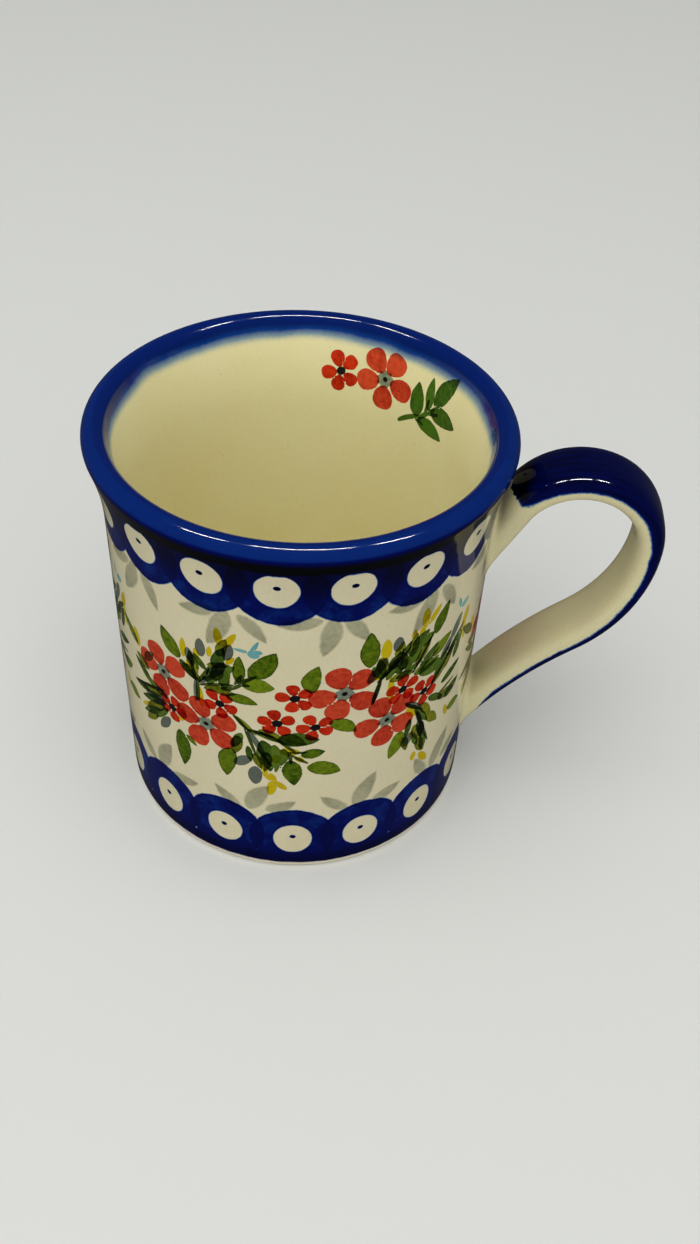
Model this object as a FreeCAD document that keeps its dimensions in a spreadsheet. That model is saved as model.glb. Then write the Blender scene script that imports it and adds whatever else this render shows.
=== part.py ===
"""A stoneware mug with a strap handle, drawn as the pieces a potter puts together.

Frame: millimetres, +Z up, the origin at the centre of the foot on the table, +X towards the handle.
"""

import FreeCAD, Part
import math
import os
import re
import Sketcher

# Driving sizes: name, millimetres, meaning. A radius or height of the mug is over the glaze.
SIZES = [
    ("mug_height", 95.0, "table to the top of the rim"),
    ("body_radius", 40.7, "outside radius where the wall starts to flare"),
    ("lip_flare", 3.05, "how far the rim stands out past that radius"),
    ("foot_taper", 1.4, "how far the wall draws in from that radius down to the table"),
    ("flare_depth", 20.5, "rim top down to where the flare starts"),
    ("wall", 4.3, "clay wall, which is also the clay thickness of the rounded rim"),
    ("floor_top", 6.0, "table to the clay floor inside"),
    ("floor_corner", 9.0, "radius of the clay between the wall and the floor inside"),
    ("foot_bevel", 0.7, "sponged edge round the foot"),
    ("foot_ring_width", 4.6, "flat ring that the mug stands on"),
    ("foot_recess", 1.6, "depth of the hollow under the base"),
    ("glaze_line", 1.4, "height of the bare strip wiped clean of glaze above the table"),
    ("coat", 0.35, "thickness of a glaze coat"),
    ("strap_width", 14.0, "handle strap across, over the glaze"),
    ("strap_thickness", 6.2, "handle strap through, over the glaze"),
    ("handle_reach", 32.3, "outside wall to the strap's centreline at its furthest point"),
    ("bend_drop", 23.2, "rim top down to the strap's furthest point"),
    ("crown_radius", 14.75, "centreline radius of the upper bend"),
    ("back_radius", 34.15, "centreline radius of the bend below the furthest point"),
    ("tail_radius", 104.0, "centreline radius of the slight reverse bend into the lower root"),
    ("upper_root_drop", 32.6, "rim top down to the hidden upper end of the centreline"),
    ("lower_root_drop", 80.7, "rim top down to the hidden lower end of the centreline"),
    ("root_depth", 4.2, "outside wall in to the hidden ends of the centreline"),
    ("slip_spread", 1.6, "how far the luting slip spreads along the wall and along the strap"),
]
NAMES = [name for name, value, meaning in SIZES]

# Outside radii at the rim and at the table.
LIP_RADIUS = "body_radius + lip_flare"
FOOT_RADIUS = "body_radius - foot_taper"

# Centreline points of the strap.
STRAP_X = "body_radius + handle_reach"
STRAP_Z = "mug_height - bend_drop"
UPPER_END = ("body_radius - root_depth", "mug_height - upper_root_drop")
LOWER_END = (FOOT_RADIUS + " - root_depth", "mug_height - lower_root_drop")

doc = FreeCAD.newDocument("stoneware_mug")
sheet = doc.addObject("Spreadsheet::Sheet", "sizes")
for row, (name, value, meaning) in enumerate(SIZES, start=1):
    sheet.set(f"A{row}", name)
    sheet.set(f"B{row}", str(value))
    sheet.set(f"C{row}", meaning)
    sheet.setAlias(f"B{row}", name)
doc.recompute()


def formula(words):
    """The words with each size's name turned into a reference to its cell."""
    return re.sub(r"[a-z_]+", lambda m: f"sizes.{m[0]}" if m[0] in NAMES else m[0], words)


def size(words):
    """The number that a formula of size names gives."""
    return float(sheet.evalExpression(formula(words)))


def point(x, z):
    """A sketch point from two formulas."""
    return FreeCAD.Vector(size(x), size(z), 0)


# ---------------------------------------------------------------- sketch helpers


def bind(sketch, kind, place, words):
    """Adds a sized constraint and ties it to the sheet."""
    index = sketch.addConstraint(Sketcher.Constraint(kind, *place, size(words)))
    label = f"{kind.lower()}_{index}"
    sketch.renameConstraint(index, label)
    sketch.setExpression(f"Constraints.{label}", formula(words))


def pin(sketch, edge, end, x, z):
    """Ties one point of the sketch to a place given by two formulas."""
    bind(sketch, "DistanceX", (edge, end), x)
    bind(sketch, "DistanceY", (edge, end), z)


def relate(sketch, kind, *place):
    """Adds a constraint that has no size."""
    sketch.addConstraint(Sketcher.Constraint(kind, *place))


def line(sketch, start, end):
    """Adds a straight edge and returns its number."""
    return sketch.addGeometry(Part.LineSegment(start, end), False)


def arc(sketch, centre, start, end):
    """Adds the arc that runs anticlockwise from start to end, and returns its number."""
    first = math.atan2(start.y - centre.y, start.x - centre.x)
    last = math.atan2(end.y - centre.y, end.x - centre.x)
    if last < first:
        last += 2 * math.pi
    circle = Part.Circle(centre, FreeCAD.Vector(0, 0, 1), centre.distanceToPoint(start))
    return sketch.addGeometry(Part.ArcOfCircle(circle, first, last), False)


# Sketcher's numbers for the points of an edge.
START, END, MIDDLE = 1, 2, 3


def new_body(name):
    """An empty PartDesign body."""
    body = doc.addObject("PartDesign::Body", name)
    body.Label = name
    return body


def body_sketch(name, body, role):
    """A sketch on one of the body's own origin planes."""
    sketch = body.newObject("Sketcher::SketchObject", name)
    plane = next(feature for feature in body.Origin.OriginFeatures if feature.Role == role)
    sketch.AttachmentSupport = [(plane, "")]
    sketch.MapMode = "FlatFace"
    return sketch


def free_sketch(name):
    """A sketch by itself, stood up on the XZ plane."""
    sketch = doc.addObject("Sketcher::SketchObject", name)
    upright = FreeCAD.Rotation(FreeCAD.Vector(1, 0, 0), 90)
    sketch.Placement = FreeCAD.Placement(FreeCAD.Vector(), upright)
    return sketch


# ---------------------------------------------------------------- the cup's clay outline

CLAY_FOOT = FOOT_RADIUS + " - coat"
CLAY_WAIST = "body_radius - coat"
RIM_CENTRE = (LIP_RADIUS + " - coat - wall / 2", "mug_height - coat - wall / 2")
RING_INSIDE = CLAY_FOOT + " - foot_bevel - foot_ring_width"
OUTSIDE = ["wall", "flare", "outer_rim"]
INSIDE = ["inner_rim", "inner_flare", "inner_wall", "corner", "floor"]
BACKWARDS = ["flare", "corner"]  # arcs that the outline runs along from their end to their start
BASE = ["axis", "recess", "ring_inside", "ring_foot", "bevel", "bare_strip"]


def clay_outline(sketch, drawn):
    """Draws the half section of the cup's clay. Edges not in drawn are left as construction lines."""
    toe = point(CLAY_FOOT + " - foot_bevel", "0")
    heel = point(CLAY_FOOT, "foot_bevel")
    waist = point(CLAY_WAIST, "mug_height - flare_depth")
    share = size("(glaze_line - foot_bevel) / (mug_height - flare_depth - foot_bevel)")
    wiped = heel + (waist - heel) * share
    rim = point(*RIM_CENTRE)
    half = size("wall / 2")
    out, up = rim.x - waist.x, rim.y - waist.y
    flare = (out * out + up * up - half * half) / (2 * (half + out))
    hub = FreeCAD.Vector(waist.x + flare, waist.y, 0)
    away = (rim - hub).normalize()
    crest = rim + FreeCAD.Vector(0, half, 0)
    inner_waist = FreeCAD.Vector(waist.x - 2 * half, waist.y, 0)
    corner = point(CLAY_FOOT + " - wall - floor_corner", "floor_top + floor_corner")
    low_wall = corner + FreeCAD.Vector(size("floor_corner"), 0, 0)
    floor_edge = FreeCAD.Vector(corner.x, size("floor_top"), 0)
    centre = point("0", "floor_top")
    under = point("0", "foot_recess")
    recess_edge = point(RING_INSIDE, "foot_recess")
    ring_edge = point(RING_INSIDE, "0")

    edges = {
        "bevel": line(sketch, toe, heel),
        "bare_strip": line(sketch, heel, wiped),
        "wall": line(sketch, wiped, waist),
        "flare": arc(sketch, hub, rim - away * half, waist),
        "outer_rim": arc(sketch, rim, rim - away * half, crest),
        "inner_rim": arc(sketch, rim, crest, rim + away * half),
        "inner_flare": arc(sketch, hub, rim + away * half, inner_waist),
        "inner_wall": line(sketch, inner_waist, low_wall),
        "corner": arc(sketch, corner, floor_edge, low_wall),
        "floor": line(sketch, floor_edge, centre),
        "axis": line(sketch, centre, under),
        "recess": line(sketch, under, recess_edge),
        "ring_inside": line(sketch, recess_edge, ring_edge),
        "ring_foot": line(sketch, ring_edge, toe),
    }
    joins = [
        ("Coincident", "bevel", END, "bare_strip", START),
        ("Coincident", "bare_strip", END, "wall", START),
        ("Tangent", "wall", END, "flare", END),
        ("Tangent", "flare", START, "outer_rim", START),
        ("Coincident", "outer_rim", END, "inner_rim", START),
        ("Coincident", "outer_rim", MIDDLE, "inner_rim", MIDDLE),
        ("Tangent", "inner_rim", END, "inner_flare", START),
        ("Coincident", "flare", MIDDLE, "inner_flare", MIDDLE),
        ("Tangent", "inner_flare", END, "inner_wall", START),
        ("Tangent", "inner_wall", END, "corner", END),
        ("Tangent", "corner", START, "floor", START),
        ("Coincident", "floor", END, "axis", START),
        ("Coincident", "axis", END, "recess", START),
        ("Coincident", "recess", END, "ring_inside", START),
        ("Coincident", "ring_inside", END, "ring_foot", START),
        ("Coincident", "ring_foot", END, "bevel", START),
    ]
    for kind, one, one_end, other, other_end in joins:
        relate(sketch, kind, edges[one], one_end, edges[other], other_end)
    relate(sketch, "Parallel", edges["bare_strip"], edges["wall"])
    relate(sketch, "Parallel", edges["inner_wall"], edges["wall"])
    relate(sketch, "Vertical", edges["outer_rim"], END, edges["outer_rim"], MIDDLE)
    relate(sketch, "Horizontal", edges["floor"])

    pin(sketch, edges["bevel"], START, CLAY_FOOT + " - foot_bevel", "0")
    pin(sketch, edges["bevel"], END, CLAY_FOOT, "foot_bevel")
    bind(sketch, "DistanceY", (edges["wall"], START), "glaze_line")
    pin(sketch, edges["wall"], END, CLAY_WAIST, "mug_height - flare_depth")
    pin(sketch, edges["outer_rim"], MIDDLE, *RIM_CENTRE)
    bind(sketch, "Radius", (edges["outer_rim"],), "wall / 2")
    bind(sketch, "Radius", (edges["corner"],), "floor_corner")
    pin(sketch, edges["floor"], END, "0", "floor_top")
    pin(sketch, edges["recess"], START, "0", "foot_recess")
    pin(sketch, edges["recess"], END, RING_INSIDE, "foot_recess")
    pin(sketch, edges["ring_foot"], START, RING_INSIDE, "0")

    for name, number in edges.items():
        sketch.setConstruction(number, name not in drawn)
    return edges


# ---------------------------------------------------------------- the cup

cup_body = new_body("cup_body")
cup_section = body_sketch("cup_section", cup_body, "XZ_Plane")
clay_outline(cup_section, OUTSIDE + INSIDE + BASE)
cup_turn = cup_body.newObject("PartDesign::Revolution", "cup_turn")
cup_turn.Profile = cup_section
cup_turn.ReferenceAxis = (cup_section, ["V_Axis"])
cup_turn.Angle = 360
doc.recompute()


def turned(name, source):
    """A section turned a full circle about the mug's axis."""
    ring = doc.addObject("Part::Revolution", name)
    ring.Source = source
    ring.Axis = FreeCAD.Vector(0, 0, 1)
    ring.Base = FreeCAD.Vector(0, 0, 0)
    ring.Angle = 360
    ring.Solid = True
    return ring


def beside(sketch, edge, backwards, gap):
    """Adds a copy of an edge, moved by gap to the right of the way the outline runs."""
    shape = sketch.Geometry[edge]
    if isinstance(shape, Part.LineSegment):
        run = (shape.EndPoint - shape.StartPoint).normalize()
        move = FreeCAD.Vector(run.y, -run.x, 0) * gap
        return line(sketch, shape.StartPoint + move, shape.EndPoint + move)
    grow = (shape.Radius - gap if backwards else shape.Radius + gap) / shape.Radius
    spots = [shape.Center + (spot - shape.Center) * grow for spot in (shape.StartPoint, shape.EndPoint)]
    return arc(sketch, shape.Center, *spots)


def skin(name, run, thickness, first_cap, last_cap):
    """A layer of even thickness on a run of the clay outline's edges, turned about the axis."""
    section = free_sketch(name + "_section")
    edges = clay_outline(section, run)
    section.solve()
    copies = [beside(section, edges[edge], edge in BACKWARDS, size(thickness)) for edge in run]
    ends = [(END, START) if edge in BACKWARDS else (START, END) for edge in run]
    sized = False
    for edge, copy in zip(run, copies):
        if isinstance(section.Geometry[copy], Part.LineSegment):
            relate(section, "Parallel", copy, edges[edge])
            if not sized:
                bind(section, "Distance", (copy, START, edges[edge]), thickness)
                sized = True
        else:
            relate(section, "Coincident", copy, MIDDLE, edges[edge], MIDDLE)
    for number in range(len(run) - 1):
        relate(section, "Tangent", copies[number], ends[number][1], copies[number + 1], ends[number + 1][0])
    caps = [
        (edges[run[0]], copies[0], ends[0][0], first_cap),
        (edges[run[-1]], copies[-1], ends[-1][1], last_cap),
    ]
    for edge, copy, end, direction in caps:
        cap = line(section, section.getPoint(edge, end), section.getPoint(copy, end))
        relate(section, "Coincident", cap, START, edge, end)
        relate(section, "Coincident", cap, END, copy, end)
        relate(section, direction, cap)
    return turned(name, section)


def blank(name):
    """The outside shape of the clay with the hollow filled, to trim the strap's hidden ends."""
    section = free_sketch(name + "_section")
    edges = clay_outline(section, OUTSIDE + ["bare_strip"])
    crest = section.getPoint(edges["outer_rim"], END)
    top_middle = point("0", "mug_height - coat")
    foot_middle = point("0", "foot_bevel")
    top = line(section, crest, top_middle)
    centre = line(section, top_middle, foot_middle)
    bottom = line(section, foot_middle, point(CLAY_FOOT, "foot_bevel"))
    relate(section, "Coincident", edges["outer_rim"], END, top, START)
    relate(section, "Coincident", top, END, centre, START)
    relate(section, "Coincident", centre, END, bottom, START)
    relate(section, "Coincident", bottom, END, edges["bare_strip"], START)
    relate(section, "Horizontal", top)
    pin(section, bottom, START, "0", "foot_bevel")
    relate(section, "Vertical", centre)
    return turned(name, section)


cup_blank = blank("cup_blank")
outside_coat = skin("outside_coat", OUTSIDE, "coat", "Horizontal", "Vertical")
slip_layer = skin("slip_layer", OUTSIDE, "slip_spread", "Horizontal", "Vertical")
slip_glaze_layer = skin("slip_glaze_layer", OUTSIDE, "slip_spread + coat", "Horizontal", "Vertical")
inside_glaze = skin("inside_glaze", INSIDE, "coat", "Vertical", "Vertical")
doc.recompute()


# ---------------------------------------------------------------- the strap


def strap_section(body, growth):
    """The strap's oval section, drawn level at its furthest point, where the strap hangs straight down."""
    section = body_sketch(body.Label + "_section", body, "XY_Plane")
    section.setExpression(".AttachmentOffset.Base.z", formula(STRAP_Z))
    middle = size(STRAP_X)
    radius = size("strap_thickness / 2 + " + growth)
    reach = size("(strap_width - strap_thickness) / 2")
    far, near = FreeCAD.Vector(middle, reach, 0), FreeCAD.Vector(middle, -reach, 0)
    side = FreeCAD.Vector(radius, 0, 0)
    outer = line(section, near + side, far + side)
    far_end = arc(section, far, far + side, far - side)
    inner = line(section, far - side, near - side)
    near_end = arc(section, near, near - side, near + side)
    relate(section, "Tangent", outer, END, far_end, START)
    relate(section, "Tangent", far_end, END, inner, START)
    relate(section, "Tangent", inner, END, near_end, START)
    relate(section, "Tangent", near_end, END, outer, START)
    relate(section, "Vertical", outer)
    relate(section, "Vertical", inner)
    pin(section, far_end, MIDDLE, STRAP_X, "(strap_width - strap_thickness) / 2")
    bind(section, "Radius", (far_end,), "strap_thickness / 2 + " + growth)
    bind(section, "DistanceY", (near_end, MIDDLE), "-(strap_width - strap_thickness) / 2")
    return section


def crown_path(body):
    """Up from the furthest point, over the crown and straight down into the upper root."""
    path = body_sketch(body.Label + "_path", body, "XZ_Plane")
    far = point(STRAP_X, STRAP_Z)
    centre = point(STRAP_X + " - crown_radius", STRAP_Z)
    root = point(*UPPER_END)
    gap = centre - root
    heading = math.atan2(gap.y, gap.x) + math.asin(size("crown_radius") / gap.Length)
    touch = centre + FreeCAD.Vector(-math.sin(heading), math.cos(heading), 0) * size("crown_radius")
    crown = arc(path, centre, far, touch)
    rise = line(path, touch, root)
    relate(path, "Tangent", crown, END, rise, START)
    pin(path, crown, START, STRAP_X, STRAP_Z)
    pin(path, crown, MIDDLE, STRAP_X + " - crown_radius", STRAP_Z)
    pin(path, rise, END, *UPPER_END)
    return path


def tail_path(body):
    """Down from the furthest point, round the back and along the reverse bend into the lower root."""
    path = body_sketch(body.Label + "_path", body, "XZ_Plane")
    far = point(STRAP_X, STRAP_Z)
    centre = point(STRAP_X + " - back_radius", STRAP_Z)
    root = point(*LOWER_END)
    back, tail = size("back_radius"), size("tail_radius")
    gap = root - centre
    turn = math.acos((gap.Length**2 + (back + tail) ** 2 - tail**2) / (2 * gap.Length * (back + tail)))
    aim = math.atan2(gap.y, gap.x) + turn
    way = FreeCAD.Vector(math.cos(aim), math.sin(aim), 0)
    touch = centre + way * back
    hub = centre + way * (back + tail)
    back_arc = arc(path, centre, touch, far)
    tail_arc = arc(path, hub, touch, root)
    relate(path, "Tangent", back_arc, START, tail_arc, START)
    pin(path, back_arc, END, STRAP_X, STRAP_Z)
    pin(path, back_arc, MIDDLE, STRAP_X + " - back_radius", STRAP_Z)
    pin(path, tail_arc, END, *LOWER_END)
    bind(path, "Radius", (tail_arc,), "tail_radius")
    return path


def half_strap(name, draw_path, growth):
    """One half of the strap, grown all round, swept from the furthest point into its root."""
    body = new_body(name)
    section = strap_section(body, growth)
    path = draw_path(body)
    sweep = body.newObject("PartDesign::AdditivePipe", name + "_sweep")
    sweep.Profile = section
    sweep.Spine = (path, ["Edge1", "Edge2"])
    return body


# ---------------------------------------------------------------- joining, trimming and glazing


def joined(name, *parts):
    """Several solids made one."""
    whole = doc.addObject("Part::MultiFuse", name)
    whole.Shapes = list(parts)
    whole.Refine = True
    return whole


def shared(name, one, other):
    """What two solids have in common."""
    both = doc.addObject("Part::Common", name)
    both.Base = one
    both.Tool = other
    return both


def trimmed(name, part, cutter):
    """A solid with another cut away from it."""
    rest = doc.addObject("Part::Cut", name)
    rest.Base = part
    rest.Tool = cutter
    rest.Label = name
    return rest


CLAY = "-coat"
GLAZED = "0"
HALVES = {"upper": crown_path, "lower": tail_path}

clay_halves = {end: half_strap(f"{end}_strap", path, CLAY) for end, path in HALVES.items()}
glazed_halves = {end: half_strap(f"{end}_strap_coat", path, GLAZED) for end, path in HALVES.items()}
strap = joined("strap", *clay_halves.values())
handle = trimmed("handle", strap, cup_blank)

slip_joints = {}
glazed_slips = {}
slip_fills = {}
for end, path in HALVES.items():
    wide = half_strap(f"{end}_slip_fill", path, "slip_spread - coat")
    slip_fills[end] = wide
    slip_ring = shared(f"{end}_slip_ring", wide, slip_layer)
    slip_joints[end] = trimmed(f"{end}_slip_joint", slip_ring, clay_halves[end])
    wider = half_strap(f"{end}_slip_coat", path, "slip_spread")
    glazed_slips[end] = shared(f"{end}_slip_glaze", wider, slip_glaze_layer)

under_glaze = joined("under_glaze", cup_blank, outside_coat, strap, *slip_joints.values())
over_glaze = joined("over_glaze", *glazed_halves.values(), *glazed_slips.values())
handle_glaze = trimmed("handle_glaze", over_glaze, under_glaze)
outside_glaze = trimmed("outside_glaze", outside_coat, joined("slip_windows", *slip_fills.values()))

base_glaze = doc.addObject("Part::Cylinder", "base_glaze")
base_glaze.setExpression("Radius", formula(RING_INSIDE))
base_glaze.setExpression("Height", formula("coat"))
base_glaze.setExpression(".Placement.Base.z", formula("foot_recess - coat"))
doc.recompute()

PIECES = [
    cup_body,
    handle,
    *slip_joints.values(),
    outside_glaze,
    inside_glaze,
    handle_glaze,
    base_glaze,
]

# ---------------------------------------------------------------- checks and export

for item in doc.Objects:
    if "Invalid" in item.State or "Error" in item.State:
        raise RuntimeError(f"{item.Name} did not build: {item.State}")
for piece in PIECES:
    if piece.Shape.isNull() or not piece.Shape.isValid():
        raise RuntimeError(f"{piece.Label} has no sound shape")
    if len(piece.Shape.Solids) != 1:
        raise RuntimeError(f"{piece.Label} is {len(piece.Shape.Solids)} solids, not one")

os.makedirs("parts", exist_ok=True)
for piece in PIECES:
    piece.Shape.exportStep(f"parts/{piece.Label}.step")
    box = piece.Shape.optimalBoundingBox(False, False)
    spans = f"x {box.XMin:.2f} to {box.XMax:.2f}, z {box.ZMin:.2f} to {box.ZMax:.2f}"
    print(f"{piece.Label}: {piece.Shape.Volume:.1f} mm3, {spans}")
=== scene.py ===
# %% [markdown]
# # A folk-painted stoneware mug
#
# A small cast mug with a flared rim and a strap handle, painted under a clear glaze. Rows of
# sponge-printed eyes run round the rim and the foot, and a garland of red flowers runs between them.
# The clay pieces are already made and placed, so they come first, as the fixed frame that every
# painted coat is built around.

# %% The frame
import math

import bpy
import numpy as np
from mathutils import Matrix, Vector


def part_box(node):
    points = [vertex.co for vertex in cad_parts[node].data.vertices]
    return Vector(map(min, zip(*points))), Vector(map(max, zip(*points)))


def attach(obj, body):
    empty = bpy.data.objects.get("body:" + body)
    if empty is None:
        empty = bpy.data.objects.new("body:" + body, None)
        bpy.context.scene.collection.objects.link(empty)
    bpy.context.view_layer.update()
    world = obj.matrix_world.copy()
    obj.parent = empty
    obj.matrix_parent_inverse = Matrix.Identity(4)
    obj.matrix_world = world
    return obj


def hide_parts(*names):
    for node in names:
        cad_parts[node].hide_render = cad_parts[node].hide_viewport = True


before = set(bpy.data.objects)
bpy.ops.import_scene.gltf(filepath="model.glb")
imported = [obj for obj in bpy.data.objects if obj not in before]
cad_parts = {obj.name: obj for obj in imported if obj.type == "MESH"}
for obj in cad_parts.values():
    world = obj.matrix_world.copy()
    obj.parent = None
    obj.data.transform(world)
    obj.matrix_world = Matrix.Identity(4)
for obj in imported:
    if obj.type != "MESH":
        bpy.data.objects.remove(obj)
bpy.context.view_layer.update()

print("clay and glaze pieces:", sorted(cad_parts))

# %% [markdown]
# ## The mug's own sizes
#
# A potter's drawing gives the outline once, as a half section. The heights and radii that the clay
# already has are read from the frame. What is left is how the outline bends between them: a nearly
# straight wall, a hollow flare, and a round rim. All of it is in millimetres, because a mug is easier
# to think about that way, and it turns into metres only when a mesh is made.

# %% Sizes
MM = 0.001


def corners(node):
    """A clay piece's lowest and highest corner in millimetres."""
    low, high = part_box(node)
    return np.array(low) / MM, np.array(high) / MM


glaze_low, glaze_high = corners("outside_glaze")
hollow_low, hollow_high = corners("inside_glaze")
HEIGHT = glaze_high[2]
GLAZE_LINE = glaze_low[2]
LIP_RADIUS = glaze_high[0]
CREST_RADIUS = hollow_high[0]
CLAY_FLOOR = hollow_low[2]
RIM_ROUND = LIP_RADIUS - CREST_RADIUS
COAT = 0.35
FLARE_DEPTH = 20.5
WAIST_RADIUS = 40.7
WALL_LEAN = 1.4 / 73.8  # outwards, for each millimetre up
FLOOR_CORNER = 9.0
WALL_RADIUS = 40.3
print(f"height {HEIGHT:.1f}, rim radius {LIP_RADIUS:.2f}, glaze line {GLAZE_LINE:.1f} mm")

# %% [markdown]
# ## The outline
#
# The flare is one arc that leaves the wall without a kink and meets the round of the rim the same
# way. Two circles that touch have their centres as far apart as their radii added up, and that gives
# the size of the flare's arc. A curve drawn by eye would do for a soft pot, but a glossy glaze shows
# every kink as a broken highlight, so arcs are the safer choice.

# %% Outline
RIM_CENTRE = np.array([CREST_RADIUS, HEIGHT - RIM_ROUND])
WAIST = np.array([WAIST_RADIUS, HEIGHT - FLARE_DEPTH])
OUTWARD = np.array([1.0, -WALL_LEAN]) / math.hypot(1.0, WALL_LEAN)


def flare_hub():
    """Centre and radius of the arc that joins the wall to the round rim."""
    gap = RIM_CENTRE - WAIST
    radius = (gap @ gap - RIM_ROUND**2) / (2 * (RIM_ROUND + OUTWARD @ gap))
    return WAIST + OUTWARD * radius, radius


def arc(centre, radius, start, end, step):
    """Points on an arc between two angles in degrees, about step millimetres apart."""
    count = max(2, round(abs(math.radians(end - start)) * radius / step) + 1)
    turn = np.radians(np.linspace(start, end, count))
    return np.stack([centre[0] + radius * np.cos(turn), centre[1] + radius * np.sin(turn)], 1)


def straight(start, end, step):
    """Points on a line, about step millimetres apart."""
    count = max(2, round(float(np.hypot(*(np.subtract(end, start)))) / step) + 1)
    return np.linspace(start, end, count)


def chained(*pieces):
    """Runs of points joined end to end, with the repeated joints left out."""
    return np.concatenate([pieces[0]] + [piece[1:] for piece in pieces[1:]])


HUB, FLARE_RADIUS = flare_hub()
LEAN_ANGLE = math.degrees(math.atan2(WAIST[1] - HUB[1], WAIST[0] - HUB[0])) % 360
MEET_ANGLE = math.degrees(math.atan2(RIM_CENTRE[1] - HUB[1], RIM_CENTRE[0] - HUB[0])) % 360
print(f"flare radius {FLARE_RADIUS:.2f} mm about ({HUB[0]:.1f}, {HUB[1]:.1f})")

# %% [markdown]
# Each coat of glaze is a thin closed shell, like the real thing: a face that shows and a face that
# lies on the clay. A Solidify modifier would thicken a single face, but the coats have to end in a
# thin edge: the outside coat thins out towards the foot, where the glaze was sponged away so that the
# mug doesn't stick to the kiln shelf. Right at the crest the two coats meet, and one very short step
# there keeps the shading level across the joint.

# %% Coat outlines
FINE, COARSE = 0.6, 3.0
RIM_STEP, WALL_STEP, CORNER_STEP = 0.16, 1.5, 0.8
CREST_STEP = 0.5
FEATHER_HEIGHT, FEATHER_TURN, FEATHER_RINGS, FEATHER_TOP = 0.9, 1.5, 5, 1.0
CLAY_WALL = 4.3


def wall_radius(height):
    """Outside radius of the glazed wall or flare at a height."""
    lean = WAIST_RADIUS - (WAIST[1] - height) * WALL_LEAN
    inside = np.clip(FLARE_RADIUS**2 - (height - HUB[1]) ** 2, 0, None)
    return np.where(height < WAIST[1], lean, HUB[0] - np.sqrt(inside))


def outside_lines():
    """The outside coat's two lines: the one that shows, foot to crest, and the one on the clay."""
    foot = np.array([wall_radius(GLAZE_LINE), GLAZE_LINE])
    feather = []
    for turn in np.linspace(0, FEATHER_TURN, FEATHER_RINGS):
        inwards, rise = COAT * (1 - math.sin(turn)), FEATHER_HEIGHT * (1 - math.cos(turn))
        feather.append(foot + (-inwards, rise))
    start = np.array([wall_radius(GLAZE_LINE + FEATHER_TOP), GLAZE_LINE + FEATHER_TOP])
    shown = chained(
        np.array(feather + [start]),
        straight(start, WAIST, FINE),
        arc(HUB, FLARE_RADIUS, LEAN_ANGLE, MEET_ANGLE, FINE),
        arc(RIM_CENTRE, RIM_ROUND, MEET_ANGLE - 180, 90 - CREST_STEP, RIM_STEP),
        arc(RIM_CENTRE, RIM_ROUND, 90 - CREST_STEP, 90, FINE),
    )
    clay = chained(
        arc(RIM_CENTRE, RIM_ROUND - COAT, 90, MEET_ANGLE - 180, FINE),
        arc(HUB, FLARE_RADIUS + COAT, MEET_ANGLE, LEAN_ANGLE, COARSE),
        straight(WAIST - OUTWARD * COAT, (foot[0] - COAT, GLAZE_LINE), COARSE)[:-1],
    )
    return shown, clay


def inside_lines():
    """The inside coat's two lines: the one that shows, crest to floor, and the one on the clay."""
    across = 2 * RIM_ROUND
    upper = WAIST - OUTWARD * across
    corner = np.array([wall_radius(0) - COAT - CLAY_WALL - FLOOR_CORNER, CLAY_FLOOR + FLOOR_CORNER])
    square_to_wall = math.degrees(math.atan2(*OUTWARD[::-1]))
    lines = []
    skins = (0, RIM_STEP, FINE, WALL_STEP), (COAT, FINE, COARSE, COARSE)
    for grow, rim_step, flare_step, wall_step in skins:
        corner_radius = FLOOR_CORNER - COAT + grow
        lines.append(chained(
            arc(RIM_CENTRE, RIM_ROUND - grow, 90, 90 + CREST_STEP, FINE),
            arc(RIM_CENTRE, RIM_ROUND - grow, 90 + CREST_STEP, MEET_ANGLE, rim_step),
            arc(HUB, FLARE_RADIUS + across - grow, MEET_ANGLE, LEAN_ANGLE, flare_step),
            straight(upper + OUTWARD * grow, corner + OUTWARD * corner_radius, wall_step),
            arc(corner, corner_radius, square_to_wall, -90, CORNER_STEP),
            straight(corner - (0, corner_radius), (COAT, corner[1] - corner_radius), COARSE),
        ))
    shown, clay = lines
    return shown, clay[::-1]


outside_shown, outside_clay = outside_lines()
inside_shown, inside_clay = inside_lines()
print(f"outside coat: {len(outside_shown)} rings show; inside coat: {len(inside_shown)}")

# %% [markdown]
# ## Turning a line into a coat
#
# A wheel turns a pot, and a loop turns a line: every point of the outline becomes a ring. The mesh is
# written directly, ring by ring, because the painting below needs to know which face is where. Blender's
# Screw modifier would turn the same line, but it wouldn't keep that order.

# %% Ring meshes
AROUND = 432
SHARP_ANGLE = 50


def turned(line):
    """Each point of a half section as a ring of places round the mug."""
    angle = np.linspace(0, 2 * np.pi, AROUND, endpoint=False)
    round_ways = np.stack([np.cos(angle), np.sin(angle)], 1)
    flat = line[:, None, :1] * round_ways[None]
    return np.concatenate([flat, np.broadcast_to(line[:, None, 1:], flat.shape[:2] + (1,))], 2)


def ring_faces(rows, around):
    """The quads between neighbouring rings, the last ring joined to the first, counted row by row."""
    low, here = np.meshgrid(np.arange(rows), np.arange(around), indexing="ij")
    high, there = (low + 1) % rows, (here + 1) % around
    below, above = low * around, high * around
    return np.stack([below + here, below + there, above + there, above + here], -1).tolist()


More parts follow.
